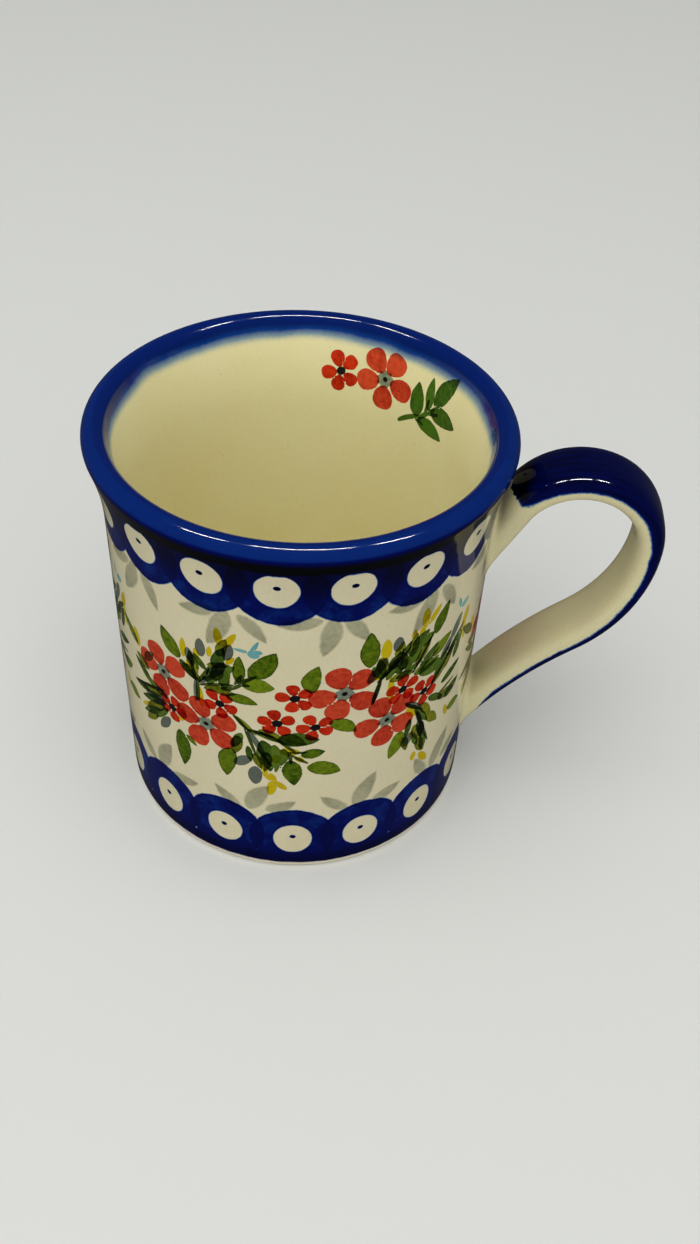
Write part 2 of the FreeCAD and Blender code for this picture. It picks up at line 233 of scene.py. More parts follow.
def ring_mesh(name, rings, middle_row=None):
    """A smooth closed skin over stacked rings. The middle row of a floor gets a lid, not a side."""
    rows, around = rings.shape[:2]
    faces = ring_faces(rows, around)
    if middle_row is not None:
        lid = list(range(middle_row * around, (middle_row + 1) * around))
        faces[middle_row] = [lid, [corner + around for corner in lid[::-1]]]
    mesh = bpy.data.meshes.new(name)
    mesh.from_pydata((rings.reshape(-1, 3) * MM).tolist(), [], sum(faces, []))
    mesh.shade_smooth()
    mesh.set_sharp_from_angle(angle=math.radians(SHARP_ANGLE))
    piece = bpy.data.objects.new(name, mesh)
    bpy.context.scene.collection.objects.link(piece)
    return piece


outside_rings = turned(np.concatenate([outside_shown, outside_clay]))
inside_rings = turned(np.concatenate([inside_shown, inside_clay]))
outside_coat = ring_mesh("outside_coat", outside_rings)
inside_coat = ring_mesh("inside_coat", inside_rings, middle_row=len(inside_shown) - 1)
print("faces:", len(outside_coat.data.polygons), "outside,", len(inside_coat.data.polygons), "inside")

# %% [markdown]
# ## Stamps and brush strokes
#
# The decorator works with a few cut sponges and a round brush, so the pattern is a plan of dabs:
# where each one starts, which way it runs, how long and how wide it is. One way to draw them is a
# picture wrapped round the mug. Here every face instead remembers its own place inside the dab nearest
# to it, and the shader draws the edge of the dab from that place. The edges then stay crisp at any
# distance, and the mesh can stay light.
#
# A dab is (degrees round the mug, height, way it runs in degrees, length, half width, bend), and a
# straight dab leaves its bend out. Its half width grows from the start by one power and shrinks to
# the tip by another, and those two powers are enough to tell a leaf from a petal.

# %% Dabs
DAB_START, DAB_HEIGHT, DAB_WAY, DAB_LENGTH, DAB_HALF, DAB_BEND = range(6)
PROFILES = {  # the power by which a dab widens from its start, and the one by which it narrows
    "leaf": (0.62, 0.85),
    "petal": (0.62, 0.42),
    "bud": (0.55, 0.6),
    "stem": (0.25, 0.35),
    "spot": (0.5, 0.5),
}


def peak(rise, fall):
    """The widest value of u to the rise times (1 - u) to the fall."""
    top = rise / (rise + fall)
    return top**rise * (1 - top) ** fall


def dab_places(dabs, angle, height, mirror, radius):
    """Places along (0 to 1) and across (-1 to 1) a dab, for angles counted from its start."""
    across = np.radians(angle) * radius * mirror
    up = height - dabs[..., DAB_HEIGHT]
    way = np.radians(dabs[..., DAB_WAY])
    along = (across * np.cos(way) + up * np.sin(way)) / dabs[..., DAB_LENGTH]
    aside = up * np.cos(way) - across * np.sin(way)
    inside = np.clip(along, 0, 1)
    bow = 4 * inside * (1 - inside)
    return along, (aside - dabs[..., DAB_BEND] * bow) / dabs[..., DAB_HALF]


def wrapped(angle):
    """An angle brought to between -180 and 180."""
    return (angle + 180) % 360 - 180


print("widest values:", {name: round(peak(*powers), 3) for name, powers in PROFILES.items()})

# %% [markdown]
# Neighbouring dabs of one layer may overlap. Each face then belongs to the one that reaches furthest
# over it, so the line between two petals falls where a real overlap would put it.

# %% Nearest dab
NOWHERE = -1e9


def nearest_dab(dabs, profile, angle, height, mirror, radius):
    """For each face middle, the number of the dab that reaches furthest over it."""
    rise, fall = PROFILES[profile]
    best = np.full(len(angle), NOWHERE)
    chosen = np.zeros(len(angle), int)
    for number, dab in enumerate(dabs):
        u, v = dab_places(dab, wrapped(angle - dab[DAB_START]), height, mirror, radius)
        inside = np.clip(u, 0, 1)
        width = (inside**rise) * ((1 - inside) ** fall) / peak(rise, fall)
        beyond = np.maximum(np.abs(u - 0.5) - 0.5, 0) * dab[DAB_LENGTH]
        reach = (width - np.abs(v)) * dab[DAB_HALF] - beyond
        better = reach > best
        best[better] = reach[better]
        chosen[better] = number
    return chosen


straight_dab = np.array([[0, 0, 0, 10, 2, 0]], float)
one_face = nearest_dab(straight_dab, "leaf", np.zeros(1), np.zeros(1), 1, WALL_RADIUS)
print("a face at the start of the only dab belongs to dab", int(one_face[0]))

# %% [markdown]
# A Canvas is one coat with its showing faces laid flat. Painting a layer on it writes three numbers on
# every face corner: how far along the dab it lies, how far across, and the dab's number. Corners are
# used rather than points, because two faces that share a point may belong to different dabs. The half
# width travels with the number, as the part after its point.

# %% Canvas
WIDTH_UNITS = 10.0
BARE_PLACE = (0.5, 99.0, 0.1)  # far beside a dab, for the faces that don't show


class Canvas:
    """The showing faces of a turned coat, laid flat: degrees round the mug and millimetres up."""

    def __init__(self, piece, line, mirror, radius):
        self.mesh, self.mirror, self.radius = piece.data, mirror, radius
        rows = len(line) - 1
        step = 360 / AROUND
        left = np.tile(np.arange(AROUND) * step, rows)
        low = np.repeat(line[:-1, 1], AROUND)
        high = np.repeat(line[1:, 1], AROUND)
        self.middle_angle, self.middle_height = left + step / 2, (low + high) / 2
        self.corner_offset = np.array([-step / 2, step / 2, step / 2, -step / 2])
        self.corner_height = np.stack([low, low, high, high], 1)

    def paint(self, layer, profile, dabs):
        """Stores on each face corner its place in the nearest dab, with the dab's number and width."""
        dabs = np.array([(*dab, 0.0)[: DAB_BEND + 1] for dab in dabs], float)
        wall = self.mirror, self.radius
        chosen = nearest_dab(dabs, profile, self.middle_angle, self.middle_height, *wall)
        mine = dabs[chosen]
        offset = wrapped(self.middle_angle - mine[:, DAB_START])[:, None] + self.corner_offset
        u, v = dab_places(mine[:, None, :], offset, self.corner_height, *wall)
        code = np.broadcast_to((chosen + mine[:, DAB_HALF] / WIDTH_UNITS)[:, None], u.shape)
        values = np.full((len(self.mesh.loops), 3), BARE_PLACE, np.float32)
        values[: u.size] = np.stack([u, v, code], -1).reshape(-1, 3)
        stored = self.mesh.attributes.new(layer, "FLOAT_VECTOR", "CORNER")
        stored.data.foreach_set("vector", values.ravel())
        print(f"{layer}: {len(dabs)} dabs")


outside_canvas = Canvas(outside_coat, outside_shown, 1, WALL_RADIUS)
print("outside canvas:", len(outside_canvas.middle_angle), "faces")

# %% [markdown]
# ## The eye borders
#
# The eyes are printed with a round sponge that has a hole in it, and the neighbours overlap a little,
# which leaves a darker lens where the colour lies double. One layer can't hold two overlapping
# prints, so every second one goes on a layer of its own, and the shader adds the two up. A small
# seeded wobble keeps each print its own.

# %% Eye prints
wobble = np.random.default_rng(7)
RING_ROWS = (  # prints round the mug, degrees of one of them, height of the middle, size
    (18, -90, HEIGHT - 10.2, 1.0),
    (16, -85, 11.0, 1.02),
)
ANGLE_WOBBLE, HEIGHT_WOBBLE, WAY_WOBBLE, SIZE_WOBBLE = 0.35, 0.25, 7, 0.012


def eye_prints(odd):
    """Every second eye of both borders, as dabs whose length and half width are one millimetre."""
    prints = []
    for count, first, height, grow in RING_ROWS:
        for number in range(odd, count, 2):
            angle = first + 360 / count * number + wobble.normal(0, ANGLE_WOBBLE)
            size = grow * (1 + wobble.normal(0, SIZE_WOBBLE))
            middle = height + wobble.normal(0, HEIGHT_WOBBLE)
            prints.append((angle, middle, wobble.normal(0, WAY_WOBBLE), size, size))
    return prints


outside_canvas.paint("ring_one", "spot", eye_prints(0))
outside_canvas.paint("ring_two", "spot", eye_prints(1))

# %% [markdown]
# ## The garland
#
# The garland is planned once and repeated three times round the mug, as the decorator does with the
# same few sponges. Scattering flowers by chance would be quicker, but a painted garland has a plan:
# big and small flowers take turns, and none of them touches the borders. A big flower is five broad
# petals round a grey middle; a small one is five drops round a black dot.

# %% Garland plan: flowers
GARLAND_TURNS = (0, 120, 240)
BIG_FLOWERS = (  # degrees, height, way of the first petal
    (-127, 52, 113),
    (-112, 43, 107),
    (-71, 56, 115),
    (-57, 45, 115),
)
SMALL_FLOWERS = (
    (-107, 50.5, 125),
    (-124.5, 42.5, 70),
    (-85, 55.5, 107),
    (-90, 48, 100),
    (-79, 47, 112),
    (-52.5, 52.5, 95),
    (-44, 48.5, 120),
)
BIG_RADIUS, SMALL_RADIUS = 7.5, 4.0
PETALS = 5
PETAL_START, PETAL_LENGTH, PETAL_HALF = 0.2, 0.8, 0.36
HEADING_WOBBLE, LENGTH_WOBBLE, BEND_WOBBLE = 5, 0.03, 0.15


def flower(angle, height, way, radius, mirror=1, across=WALL_RADIUS):
    """The five petals of one flower, each from near its middle outwards."""
    petals = []
    for number in range(PETALS):
        heading = way + 360 / PETALS * number + wobble.normal(0, HEADING_WOBBLE)
        start = radius * PETAL_START
        along = math.degrees(start * math.cos(math.radians(heading)) / across) * mirror
        up = start * math.sin(math.radians(heading))
        length = radius * (PETAL_LENGTH + wobble.normal(0, LENGTH_WOBBLE))
        shape = length, radius * PETAL_HALF, wobble.normal(0, BEND_WOBBLE)
        petals.append((angle + along, height + up, heading, *shape))
    return petals


def repeated(dabs):
    """A plan repeated round the mug."""
    return [(dab[0] + turn, *dab[1:]) for turn in GARLAND_TURNS for dab in dabs]


big_petals = [petal for place in BIG_FLOWERS for petal in flower(*place, BIG_RADIUS)]
small_petals = [petal for place in SMALL_FLOWERS for petal in flower(*place, SMALL_RADIUS)]
outside_canvas.paint("big_petal", "petal", repeated(big_petals))
outside_canvas.paint("small_petal", "petal", repeated(small_petals))

# %% [markdown]
# The leaves are three greens, and a list for each keeps them apart: broad mid-green leaves that point
# away from the flowers, then narrower olive ones. Each list is laid on a layer of its own, so a leaf
# of one green can lie over a leaf of another.

# %% Garland plan: leaves
LEAVES = (
    (-120, 59, 124, 7.8, 2.1, 0.3), (-136, 51, 50, 5.5, 1.1), (-98, 60, 55, 9.6, 2.3, -0.5),
    (-101, 58, 88, 7.6, 1.4), (-100, 58, 0, 6.6, 2.1, 0.3), (-105, 53.5, -6, 6.8, 1.4, 0.4),
    (-122, 37, -88, 11.0, 2.1, 0.4), (-119.5, 36.5, -40, 3.4, 0.8), (-104, 38, -98, 9.2, 2.2, -0.5),
    (-80.5, 57, 80, 7.6, 2.0, 0.7), (-64, 62, 92, 9.6, 2.1), (-75, 48.5, -36, 7.4, 1.8, 0.5),
    (-51.5, 39.5, -108, 7.9, 2.0, 0.5), (-83, 38.5, 12, 5.2, 1.5), (-81, 35, -18, 7.6, 2.2, 0.4),
    (-86, 37, -84, 8.2, 2.1), (-49, 55.5, 10, 7.2, 1.5), (-42, 64, 67, 8.0, 1.7, 0.2),
    (-42, 57.5, 36, 6.8, 1.6, 0.2), (-33, 41, 28, 6.0, 1.6), (-30, 36, -8, 5.6, 1.5),
    (-139, 53.5, 139, 7.8, 1.3),
)
OLIVE_LEAVES = (
    (-110.5, 60.5, 20, 5.4, 0.9), (-109.5, 57, 50, 4.6, 1.3), (-112, 53.5, 14, 6.8, 1.0, 0.4),
    (-108.5, 53.8, 10, 5.0, 0.9), (-116.5, 61.5, -72, 6.0, 1.2), (-107, 64, 70, 5.6, 1.2),
    (-113.5, 58, 110, 4.8, 0.8), (-119, 58, -32, 5.4, 1.5), (-129, 44, 196, 8.0, 1.4),
    (-128, 41.5, 220, 9.0, 1.5), (-134, 49, 160, 5.0, 1.4), (-132, 37, 228, 6.5, 1.3),
    (-102.5, 48.3, -46, 6.6, 0.8), (-101.5, 42.5, -100, 6.0, 1.4), (-95.5, 45.5, -30, 7.0, 1.2, 0.3),
    (-93, 39, -95, 6.5, 1.4), (-89.5, 44, -20, 6.0, 1.7, 0.3), (-97, 38, -70, 5.0, 1.0),
    (-61, 64, -75, 6.0, 1.3), (-58.5, 60, 30, 5.0, 1.4), (-55.5, 62.5, 75, 4.2, 1.2),
    (-53, 58, 96, 6.0, 1.3), (-57.5, 56.5, 0, 6.0, 1.2, 0.3), (-50.5, 61, 84, 6.5, 1.4),
    (-48.5, 58, 60, 7.0, 1.2), (-50, 37, -78, 5.0, 1.1), (-46.5, 39, -66, 6.6, 1.4),
    (-44.5, 45, -58, 6.5, 1.2), (-41.5, 40.5, -50, 6.4, 1.3), (-44, 34, -72, 5.5, 1.3),
    (-41, 49, 44, 6.5, 1.2), (-36, 51, 66, 7.0, 1.3), (-37, 43, -10, 6.5, 1.4),
)
outside_canvas.paint("leaf", "leaf", repeated(LEAVES))
outside_canvas.paint("olive_leaf", "leaf", repeated(OLIVE_LEAVES))

# %% [markdown]
# The darkest green goes over the other two in bunches. Where its leaves cross, the stains add up to
# nearly black, and that gives the garland its depth.

# %% Garland plan: dark leaves
DARK_LEAVES = (
    (-90, 43, 2, 8.8, 2.1, 0.2), (-110.6, 55, 62, 7.6, 1.1, 0.2), (-108.6, 60.5, 68, 6.8, 1.4),
    (-105.6, 55.4, 88, 6.6, 1.4), (-106.6, 59.5, 40, 4.4, 1.0), (-106.2, 56.4, 86, 6.8, 1.8),
    (-110.2, 56.6, 60, 6.0, 1.5), (-112.5, 56, 24, 5.2, 0.9), (-119.8, 58.8, -48, 5.4, 1.1),
    (-111, 59, 130, 4.8, 0.9), (-115.4, 58.5, 97, 4.4, 0.9), (-109, 56.6, 42, 3.8, 0.8),
    (-126, 44.5, 168, 9.0, 1.1), (-127, 42.5, 204, 10.0, 1.2), (-129.5, 39, 216, 9.0, 1.1),
    (-134, 46, 150, 6.5, 1.1), (-126.5, 41, 232, 7.5, 0.9), (-135, 42, 190, 6.5, 1.0),
    (-100.6, 43.5, -112, 5.6, 1.1), (-94.4, 42.5, -80, 9.8, 1.9, 0.2), (-90.8, 41.5, -88, 8.6, 1.5),
    (-97, 44.8, -24, 6.8, 0.9, 0.3), (-91.5, 41, -74, 7.0, 1.0), (-93.6, 42, -96, 7.4, 1.6),
    (-88, 40.5, -96, 5.6, 1.3), (-98.8, 40, -82, 5.0, 0.8), (-63, 62, -62, 4.6, 1.1),
    (-60, 58, 98, 5.8, 1.2), (-58.5, 57, 62, 6.2, 1.0), (-57, 58.4, 34, 4.6, 0.8),
    (-54.5, 60.5, 66, 5.8, 1.1), (-52, 57, 80, 7.0, 1.2), (-51, 63.5, 34, 5.4, 1.4),
    (-48.5, 61, 96, 5.4, 1.0), (-55.5, 56.5, 18, 7.0, 0.9), (-47, 57, 40, 6.6, 1.0),
    (-58, 59.6, 52, 5.2, 1.6), (-54.2, 57.6, 94, 6.6, 1.7), (-50.6, 58.6, 70, 6.2, 1.6),
    (-48.4, 63, 24, 4.8, 1.5), (-47, 54.8, -4, 8.4, 1.9), (-46.8, 44.5, -56, 8.0, 1.0),
    (-44.6, 40, -74, 7.2, 1.2), (-48.4, 42, -96, 5.6, 0.9), (-42.5, 35, -80, 6.6, 1.3),
    (-41.5, 45.5, -34, 6.4, 1.1), (-46.4, 36.5, -70, 5.2, 0.9), (-40, 51, 58, 8.4, 1.2, 0.2),
    (-35, 54, 50, 8.6, 1.2), (-31, 52, 72, 7.2, 1.1), (-36, 47, 22, 7.4, 1.2),
)
outside_canvas.paint("dark_leaf", "leaf", repeated(DARK_LEAVES))

# %% [markdown]
# Between the leaves the decorator flicks in small things with the tip of the brush: slate-blue buds,
# short strokes of yellow, one turquoise wisp, and thin stems that lead the eye from one flower to
# the next.

# %% Garland plan: buds, flicks and stems
SLATE_BUDS = (
    (-112.3, 62.3, 91, 4.9, 1.2), (-116, 59.3, 97, 4.0, 1.1), (-104.7, 63.5, 76, 4.7, 1.2),
    (-109, 58, 58, 5.4, 1.2), (-115, 48.5, 88, 7.0, 0.55), (-113.5, 54.5, 45, 6.0, 0.6),
    (-128, 43, 200, 7.0, 1.1), (-126, 38.5, 236, 6.0, 1.2), (-98.6, 45, -64, 8.4, 0.75),
    (-98, 36.5, 220, 4.8, 1.35), (-96.5, 34, -92, 5.8, 1.6), (-62.5, 51, 77, 7.6, 0.65),
    (-61.5, 57, 48, 8.0, 0.6), (-55.5, 64.2, 92, 4.0, 1.25), (-61.5, 60, 66, 4.0, 1.3),
    (-64, 57.5, 62, 4.6, 1.2), (-51, 47.8, -40, 6.2, 0.9), (-46, 43.5, -70, 6.0, 0.7),
    (-47, 37.5, -112, 4.4, 1.2), (-43.5, 39, -84, 5.0, 1.1), (-34, 58.5, 62, 6.6, 1.2),
    (-38, 55, 56, 6.0, 1.1),
)
YELLOW_FLICKS = (
    (-118.5, 60, 88, 5.2, 0.81), (-117.5, 59.5, -58, 5.8, 0.74), (-106.3, 67, 96, 4.7, 0.94),
    (-105.3, 66.5, 60, 5.4, 0.81), (-109.8, 63, 84, 2.9, 0.68), (-113.5, 61, 99, 3.0, 0.68),
    (-104.5, 62.5, 52, 2.8, 0.68), (-113, 47.5, 92, 6.0, 0.68), (-121.3, 40, 82, 5.4, 1.08),
    (-131, 43.5, 60, 4.0, 0.81), (-133, 39, 216, 6.4, 0.68), (-139, 53, 100, 5.0, 1.35),
    (-95, 35.5, -68, 4.0, 0.68), (-92.5, 32.5, -62, 3.2, 0.81), (-91.2, 30, -98, 4.8, 1.08),
    (-91, 30, -42, 3.8, 0.81), (-91.5, 30, 128, 3.4, 0.68), (-89.3, 39.6, 0, 4.2, 1.22),
    (-90, 38.5, -98, 2.8, 0.94), (-84.5, 38, -40, 2.2, 0.81), (-59.2, 63, 91, 5.6, 1.22),
    (-62.5, 61, -70, 3.4, 1.08), (-46.5, 67.5, 92, 5.4, 1.08), (-45.5, 68, 52, 5.0, 0.81),
    (-50.5, 66, 86, 2.4, 0.68), (-48, 66, 72, 2.6, 0.81), (-57, 57.5, -86, 7.4, 0.81),
    (-51, 37.5, -80, 3.8, 0.81), (-47.5, 37.5, -60, 3.2, 0.81), (-45, 30, -92, 2.8, 0.81),
    (-42.5, 28.5, -56, 5.0, 0.94), (-49.8, 46, -55, 4.6, 1.35), (-28, 59, 72, 5.4, 1.08),
    (-26, 55, 98, 6.2, 0.81), (-32, 38, -70, 4.0, 0.81),
)
TURQUOISE_WISPS = (
    (-98.2, 66.4, 15, 2.6, 1.1), (-97.5, 67, 176, 3.4, 0.45), (-97.5, 66.5, 66, 4.2, 0.5),
    (-96.5, 67.4, 0, 1.8, 0.6), (-30.6, 66, 20, 3.0, 0.9), (-30.6, 66, 110, 3.4, 0.5),
)
STEMS = (
    (-103, 48.5, -50, 5.6, 0.5), (-99.2, 45, -14, 6.4, 0.5, 0.3), (-99.6, 45.6, -74, 8.6, 0.45),
    (-96, 40, -60, 6.4, 0.4), (-114.2, 49, 88, 7.0, 0.55), (-114.2, 54.5, 62, 6.6, 0.55, -0.3),
    (-114.4, 54.5, 100, 5.8, 0.5), (-113.4, 54, 20, 9.0, 0.45, 0.4), (-106.4, 55, 32, 5.4, 0.6, -0.3),
    (-102, 57.2, 66, 3.6, 0.55), (-101.6, 57.6, 38, 5.2, 0.55), (-101.6, 57.6, 4, 2.8, 0.55),
    (-90.5, 43.5, -44, 6.4, 0.5), (-87, 39.2, 4, 4.2, 0.45), (-86.6, 38.8, -34, 5.0, 0.5),
    (-86.4, 39.8, -84, 4.0, 0.5), (-62.4, 51, 78, 7.4, 0.5), (-61.4, 57, 44, 10.0, 0.5),
    (-54, 60, 88, 4.6, 0.4), (-49.5, 56, 62, 10.0, 0.45), (-47.6, 55.4, 34, 7.0, 0.45),
    (-50.8, 47.4, -42, 7.0, 0.5), (-46, 43, -68, 13.0, 0.5), (-43, 47, 52, 14.0, 0.45),
    (-37, 44, 14, 6.0, 0.45), (-127.5, 46, 204, 12.0, 0.5),
)
outside_canvas.paint("slate_bud", "bud", repeated(SLATE_BUDS))
outside_canvas.paint("yellow_flick", "bud", repeated(YELLOW_FLICKS))
outside_canvas.paint("turquoise_wisp", "bud", repeated(TURQUOISE_WISPS))
outside_canvas.paint("stem", "stem", repeated(STEMS))

# %% [markdown]
# Behind the borders grow pale grey leaves in threes. They are one print, turned over for the lower
# border, and their colour is thin enough to look like a shadow. The flower middles are spots: even
# numbers are the grey ones of the big flowers, and odd numbers the black ones of the small flowers,
# so that one layer does for both.

# %% Shadow leaves and flower middles
UPPER_TRIPLE = (
    (-3.5, 0, 197, 9.0, 1.7, 0.3), (-0.5, 0.5, 252, 10.5, 2.2, 0.4), (2.5, 0, 307, 8.5, 1.7, 0.3),
)
LOWER_TRIPLE = (
    (-3.0, 0, 131, 8.5, 1.6, 0.3), (-0.5, 0, 62, 11.0, 2.3, 0.4), (5.0, 0.5, 22, 8.0, 1.7, -0.3),
)
TRIPLE_ROWS = (  # prints round the mug, degrees of one of them, height, its leaves
    (12, -104, 76.5, UPPER_TRIPLE),
    (11, -66, 19.5, LOWER_TRIPLE),
)
TRIPLE_WOBBLE, LEAF_WAY_WOBBLE, LEAF_LENGTH_WOBBLE = 1.2, 8, 0.06
BIG_MIDDLE, SMALL_MIDDLE = (2.05, 1.95), (1.12, 1.0)
NO_SPOT = (0, -500, 0, 0.1, 0.1)


def shadow_leaves():
    """The pale leaves behind both borders."""
    leaves = []
    for count, first, height, triple in TRIPLE_ROWS:
        for number in range(count):
            around = first + 360 / count * number + wobble.normal(0, TRIPLE_WOBBLE)
            for angle, up, way, length, half, bend in triple:
                way = way + wobble.normal(0, LEAF_WAY_WOBBLE)
                length = length * (1 + wobble.normal(0, LEAF_LENGTH_WOBBLE))
                leaves.append((around + angle, height + up, way, length, half, bend))
    return leaves


def middles(big, small):
    """Grey spots on even numbers, black ones on odd. The shorter list ends in spots off the mug."""
    spots = []
    for number in range(max(len(big), len(small))):
        for places, size in ((big, BIG_MIDDLE), (small, SMALL_MIDDLE)):
            if number < len(places):
                angle, height, way = places[number]
                spots.append((angle, height, way - 90, *size))
            else:
                spots.append(NO_SPOT)
    return spots


outside_canvas.paint("shadow_leaf", "leaf", shadow_leaves())
outside_canvas.paint("middle", "spot", repeated(middles(BIG_FLOWERS, SMALL_FLOWERS)))

# %% [markdown]
# ## The sprig inside
#
# One small sprig hides inside the rim, where the drinker finds it. It could be its own small set of
# shapes, but the same dabs do: they go on the inside coat with left and right swapped, because this
# wall is seen from its hollow side.

# %% Inside sprig
INSIDE_RADIUS = 37.2
inside_canvas = Canvas(inside_coat, inside_shown, -1, INSIDE_RADIUS)
SPRIG_BIG, SPRIG_BIG_RADIUS = ((65.5, 84, 132),), 7.2
SPRIG_SMALL, SPRIG_SMALL_RADIUS = ((82, 83.6, 118),), 4.6
SPRIG_LEAVES = (
    (51, 78.5, 94, 8.2, 2.0), (46, 81.5, 92, 7.6, 1.3), (43.4, 83.2, 60, 10.2, 2.1, 0.3),
    (44.8, 81.6, 0, 8.8, 2.2, 0.3), (50.5, 78, -10, 8.8, 2.0, 0.3),
)
SPRIG_STEMS = (
    (58.5, 75.5, 30, 7.0, 0.62, 0.3), (51, 77.6, 44, 7.5, 0.62), (47, 80, 84, 4.0, 0.5),
    (46.5, 80.6, 18, 4.0, 0.5), (52, 78.5, -20, 3.4, 0.5),
)

big_sprig = flower(*SPRIG_BIG[0], SPRIG_BIG_RADIUS, -1, INSIDE_RADIUS)
small_sprig = flower(*SPRIG_SMALL[0], SPRIG_SMALL_RADIUS, -1, INSIDE_RADIUS)
inside_canvas.paint("big_petal", "petal", big_sprig)
inside_canvas.paint("small_petal", "petal", small_sprig)
inside_canvas.paint("leaf", "leaf", SPRIG_LEAVES)
inside_canvas.paint("stem", "stem", SPRIG_STEMS)
inside_canvas.paint("middle", "spot", middles(SPRIG_BIG, SPRIG_SMALL))

# %% [markdown]
# ## The strap handle
#
# The handle is a pulled strap: wide, flat inside, softly domed outside. Its middle line follows the
# clay strap, two bends and a slight reverse bend, with its furthest point taken from the strap's own
# box. A curve with a bevel would sweep the same section, but its ends would be cut flat. The ends here
# have to spread onto the round wall, so the rings are written out.

# %% Strap line
_, strap_high = corners("handle")
HALF_WIDTH, HALF_THICK = 7.0, 3.1
CLAY_HALF = HALF_THICK - COAT
CROWN_RADIUS, BACK_RADIUS, TAIL_RADIUS = 14.75, 34.15, 104.0
UPPER_END, LOWER_END = np.array([36.5, 62.4]), np.array([35.1, 14.3])
FURTHEST = np.array([strap_high[0] - CLAY_HALF, strap_high[2] - CLAY_HALF - CROWN_RADIUS])
STRAP_STEP = 0.5


def strap_line():
    """The strap's middle line from its hidden upper end to its hidden lower end."""
    crown = FURTHEST - (CROWN_RADIUS, 0)
    gap = crown - UPPER_END
    heading = math.atan2(gap[1], gap[0]) + math.asin(CROWN_RADIUS / np.hypot(*gap))
    touch = math.degrees(heading) + 90
    over = arc(crown, CROWN_RADIUS, touch, 0, STRAP_STEP)
    back = FURTHEST - (BACK_RADIUS, 0)
    drop = LOWER_END - back
    far = np.hypot(*drop)
    reach = BACK_RADIUS + TAIL_RADIUS
    swing = math.acos((far**2 + reach**2 - TAIL_RADIUS**2) / (2 * far * reach))
    aim = math.atan2(drop[1], drop[0]) + swing
    hub = back + reach * np.array([math.cos(aim), math.sin(aim)])
    last = math.degrees(math.atan2(*(LOWER_END - hub)[::-1]))
    first = math.degrees(aim) + 180
    down = arc(back, BACK_RADIUS, 0, math.degrees(aim), STRAP_STEP)
    tail = arc(hub, TAIL_RADIUS, first, last + 360 * round((first - last) / 360), STRAP_STEP)
    return chained(straight(UPPER_END, over[0], STRAP_STEP), over, down, tail)


middle_line = strap_line()
strap_length = np.hypot(*np.diff(middle_line, axis=0).T).sum()
print(f"strap line: {len(middle_line)} points, {strap_length:.1f} mm long")

# %% [markdown]
# Pulled between a wet thumb and finger, the strap gets soft edges and a slight dome. A rectangle with
# bevelled edges would show a line where each bevel starts. A superellipse has none: its power says how
# full the corners are, and the side towards the wall is a little fuller than the back.

# %% Strap rings
SECTION_POINTS = 72
OUTER_POWER, INNER_POWER = 3.0, 3.2


def strap_section(inset=0.0):
    """The strap's cross section: how far each point stands out from the middle line, and across."""
    turn = np.linspace(0, 2 * np.pi, SECTION_POINTS, endpoint=False)
    power = np.where(np.sin(turn) >= 0, OUTER_POWER, INNER_POWER)
    out = np.sign(np.sin(turn)) * np.abs(np.sin(turn)) ** (2 / power) * (HALF_THICK - inset)
    across = np.sign(np.cos(turn)) * np.abs(np.cos(turn)) ** (2 / power) * (HALF_WIDTH - inset)
    return out, across


def strap_rings(inset=0.0):
    """The section carried along the middle line, square to it."""
    way = np.gradient(middle_line, axis=0)
    way /= np.hypot(*way.T)[:, None]
    outward = np.stack([-way[:, 1], way[:, 0]], 1)
    out, across = strap_section(inset)
    flat = middle_line[:, None] + outward[:, None] * out[None, :, None]
    side = np.broadcast_to(across, flat.shape[:2])
    return np.stack([flat[..., 0], side, flat[..., 1]], -1)


print("strap rings:", strap_rings().shape[:2])

# %% [markdown]
# Each run of points down the strap, a strake, is followed until it meets the wall. There it turns
# outwards on a small curve and lies down on the wall, the way the slip was smoothed with a wet brush.
# A boolean union would join the two shapes as well, but it would leave a hard crease at the joint.

# %% Landing on the wall
SPREAD = 2.6
SPREAD_RINGS = 8
SINK = 0.08
BODY_RINGS = 210


def off_wall(points):
    """How far points stand off the glazed wall."""
    return np.hypot(points[..., 0], points[..., 1]) - wall_radius(points[..., 2])


def on_wall(points, depth):
    """Points moved level onto the wall, sunk by depth."""
    radius = wall_radius(points[..., 2]) - depth
    stretch = radius / np.hypot(points[..., 0], points[..., 1])
    return np.stack([points[..., 0] * stretch, points[..., 1] * stretch, points[..., 2]], -1)


def strake_landing(strake, root):
    """Where a strake meets the wall, and the curve that spreads it there. It starts at the wall end."""
    gap = off_wall(strake)
    first = int(np.argmax(gap > 0))
    share = gap[first - 1] / (gap[first - 1] - gap[first])
    hit = strake[first - 1] + (strake[first] - strake[first - 1]) * share
    away = hit - root
    normal = np.array([hit[0], hit[1], 0.0]) / np.hypot(hit[0], hit[1])
    away = away - normal * (away @ normal)
    away /= np.linalg.norm(away)
    lift_off = first + round(SPREAD / STRAP_STEP)
    lift = strake[lift_off]
    land = on_wall(hit + away * SPREAD, SINK)
    t = np.linspace(0, 1, SPREAD_RINGS)[:, None]
    curve = land * (1 - t) ** 2 + 2 * hit * t * (1 - t) + lift * t**2
    return lift_off, curve, hit


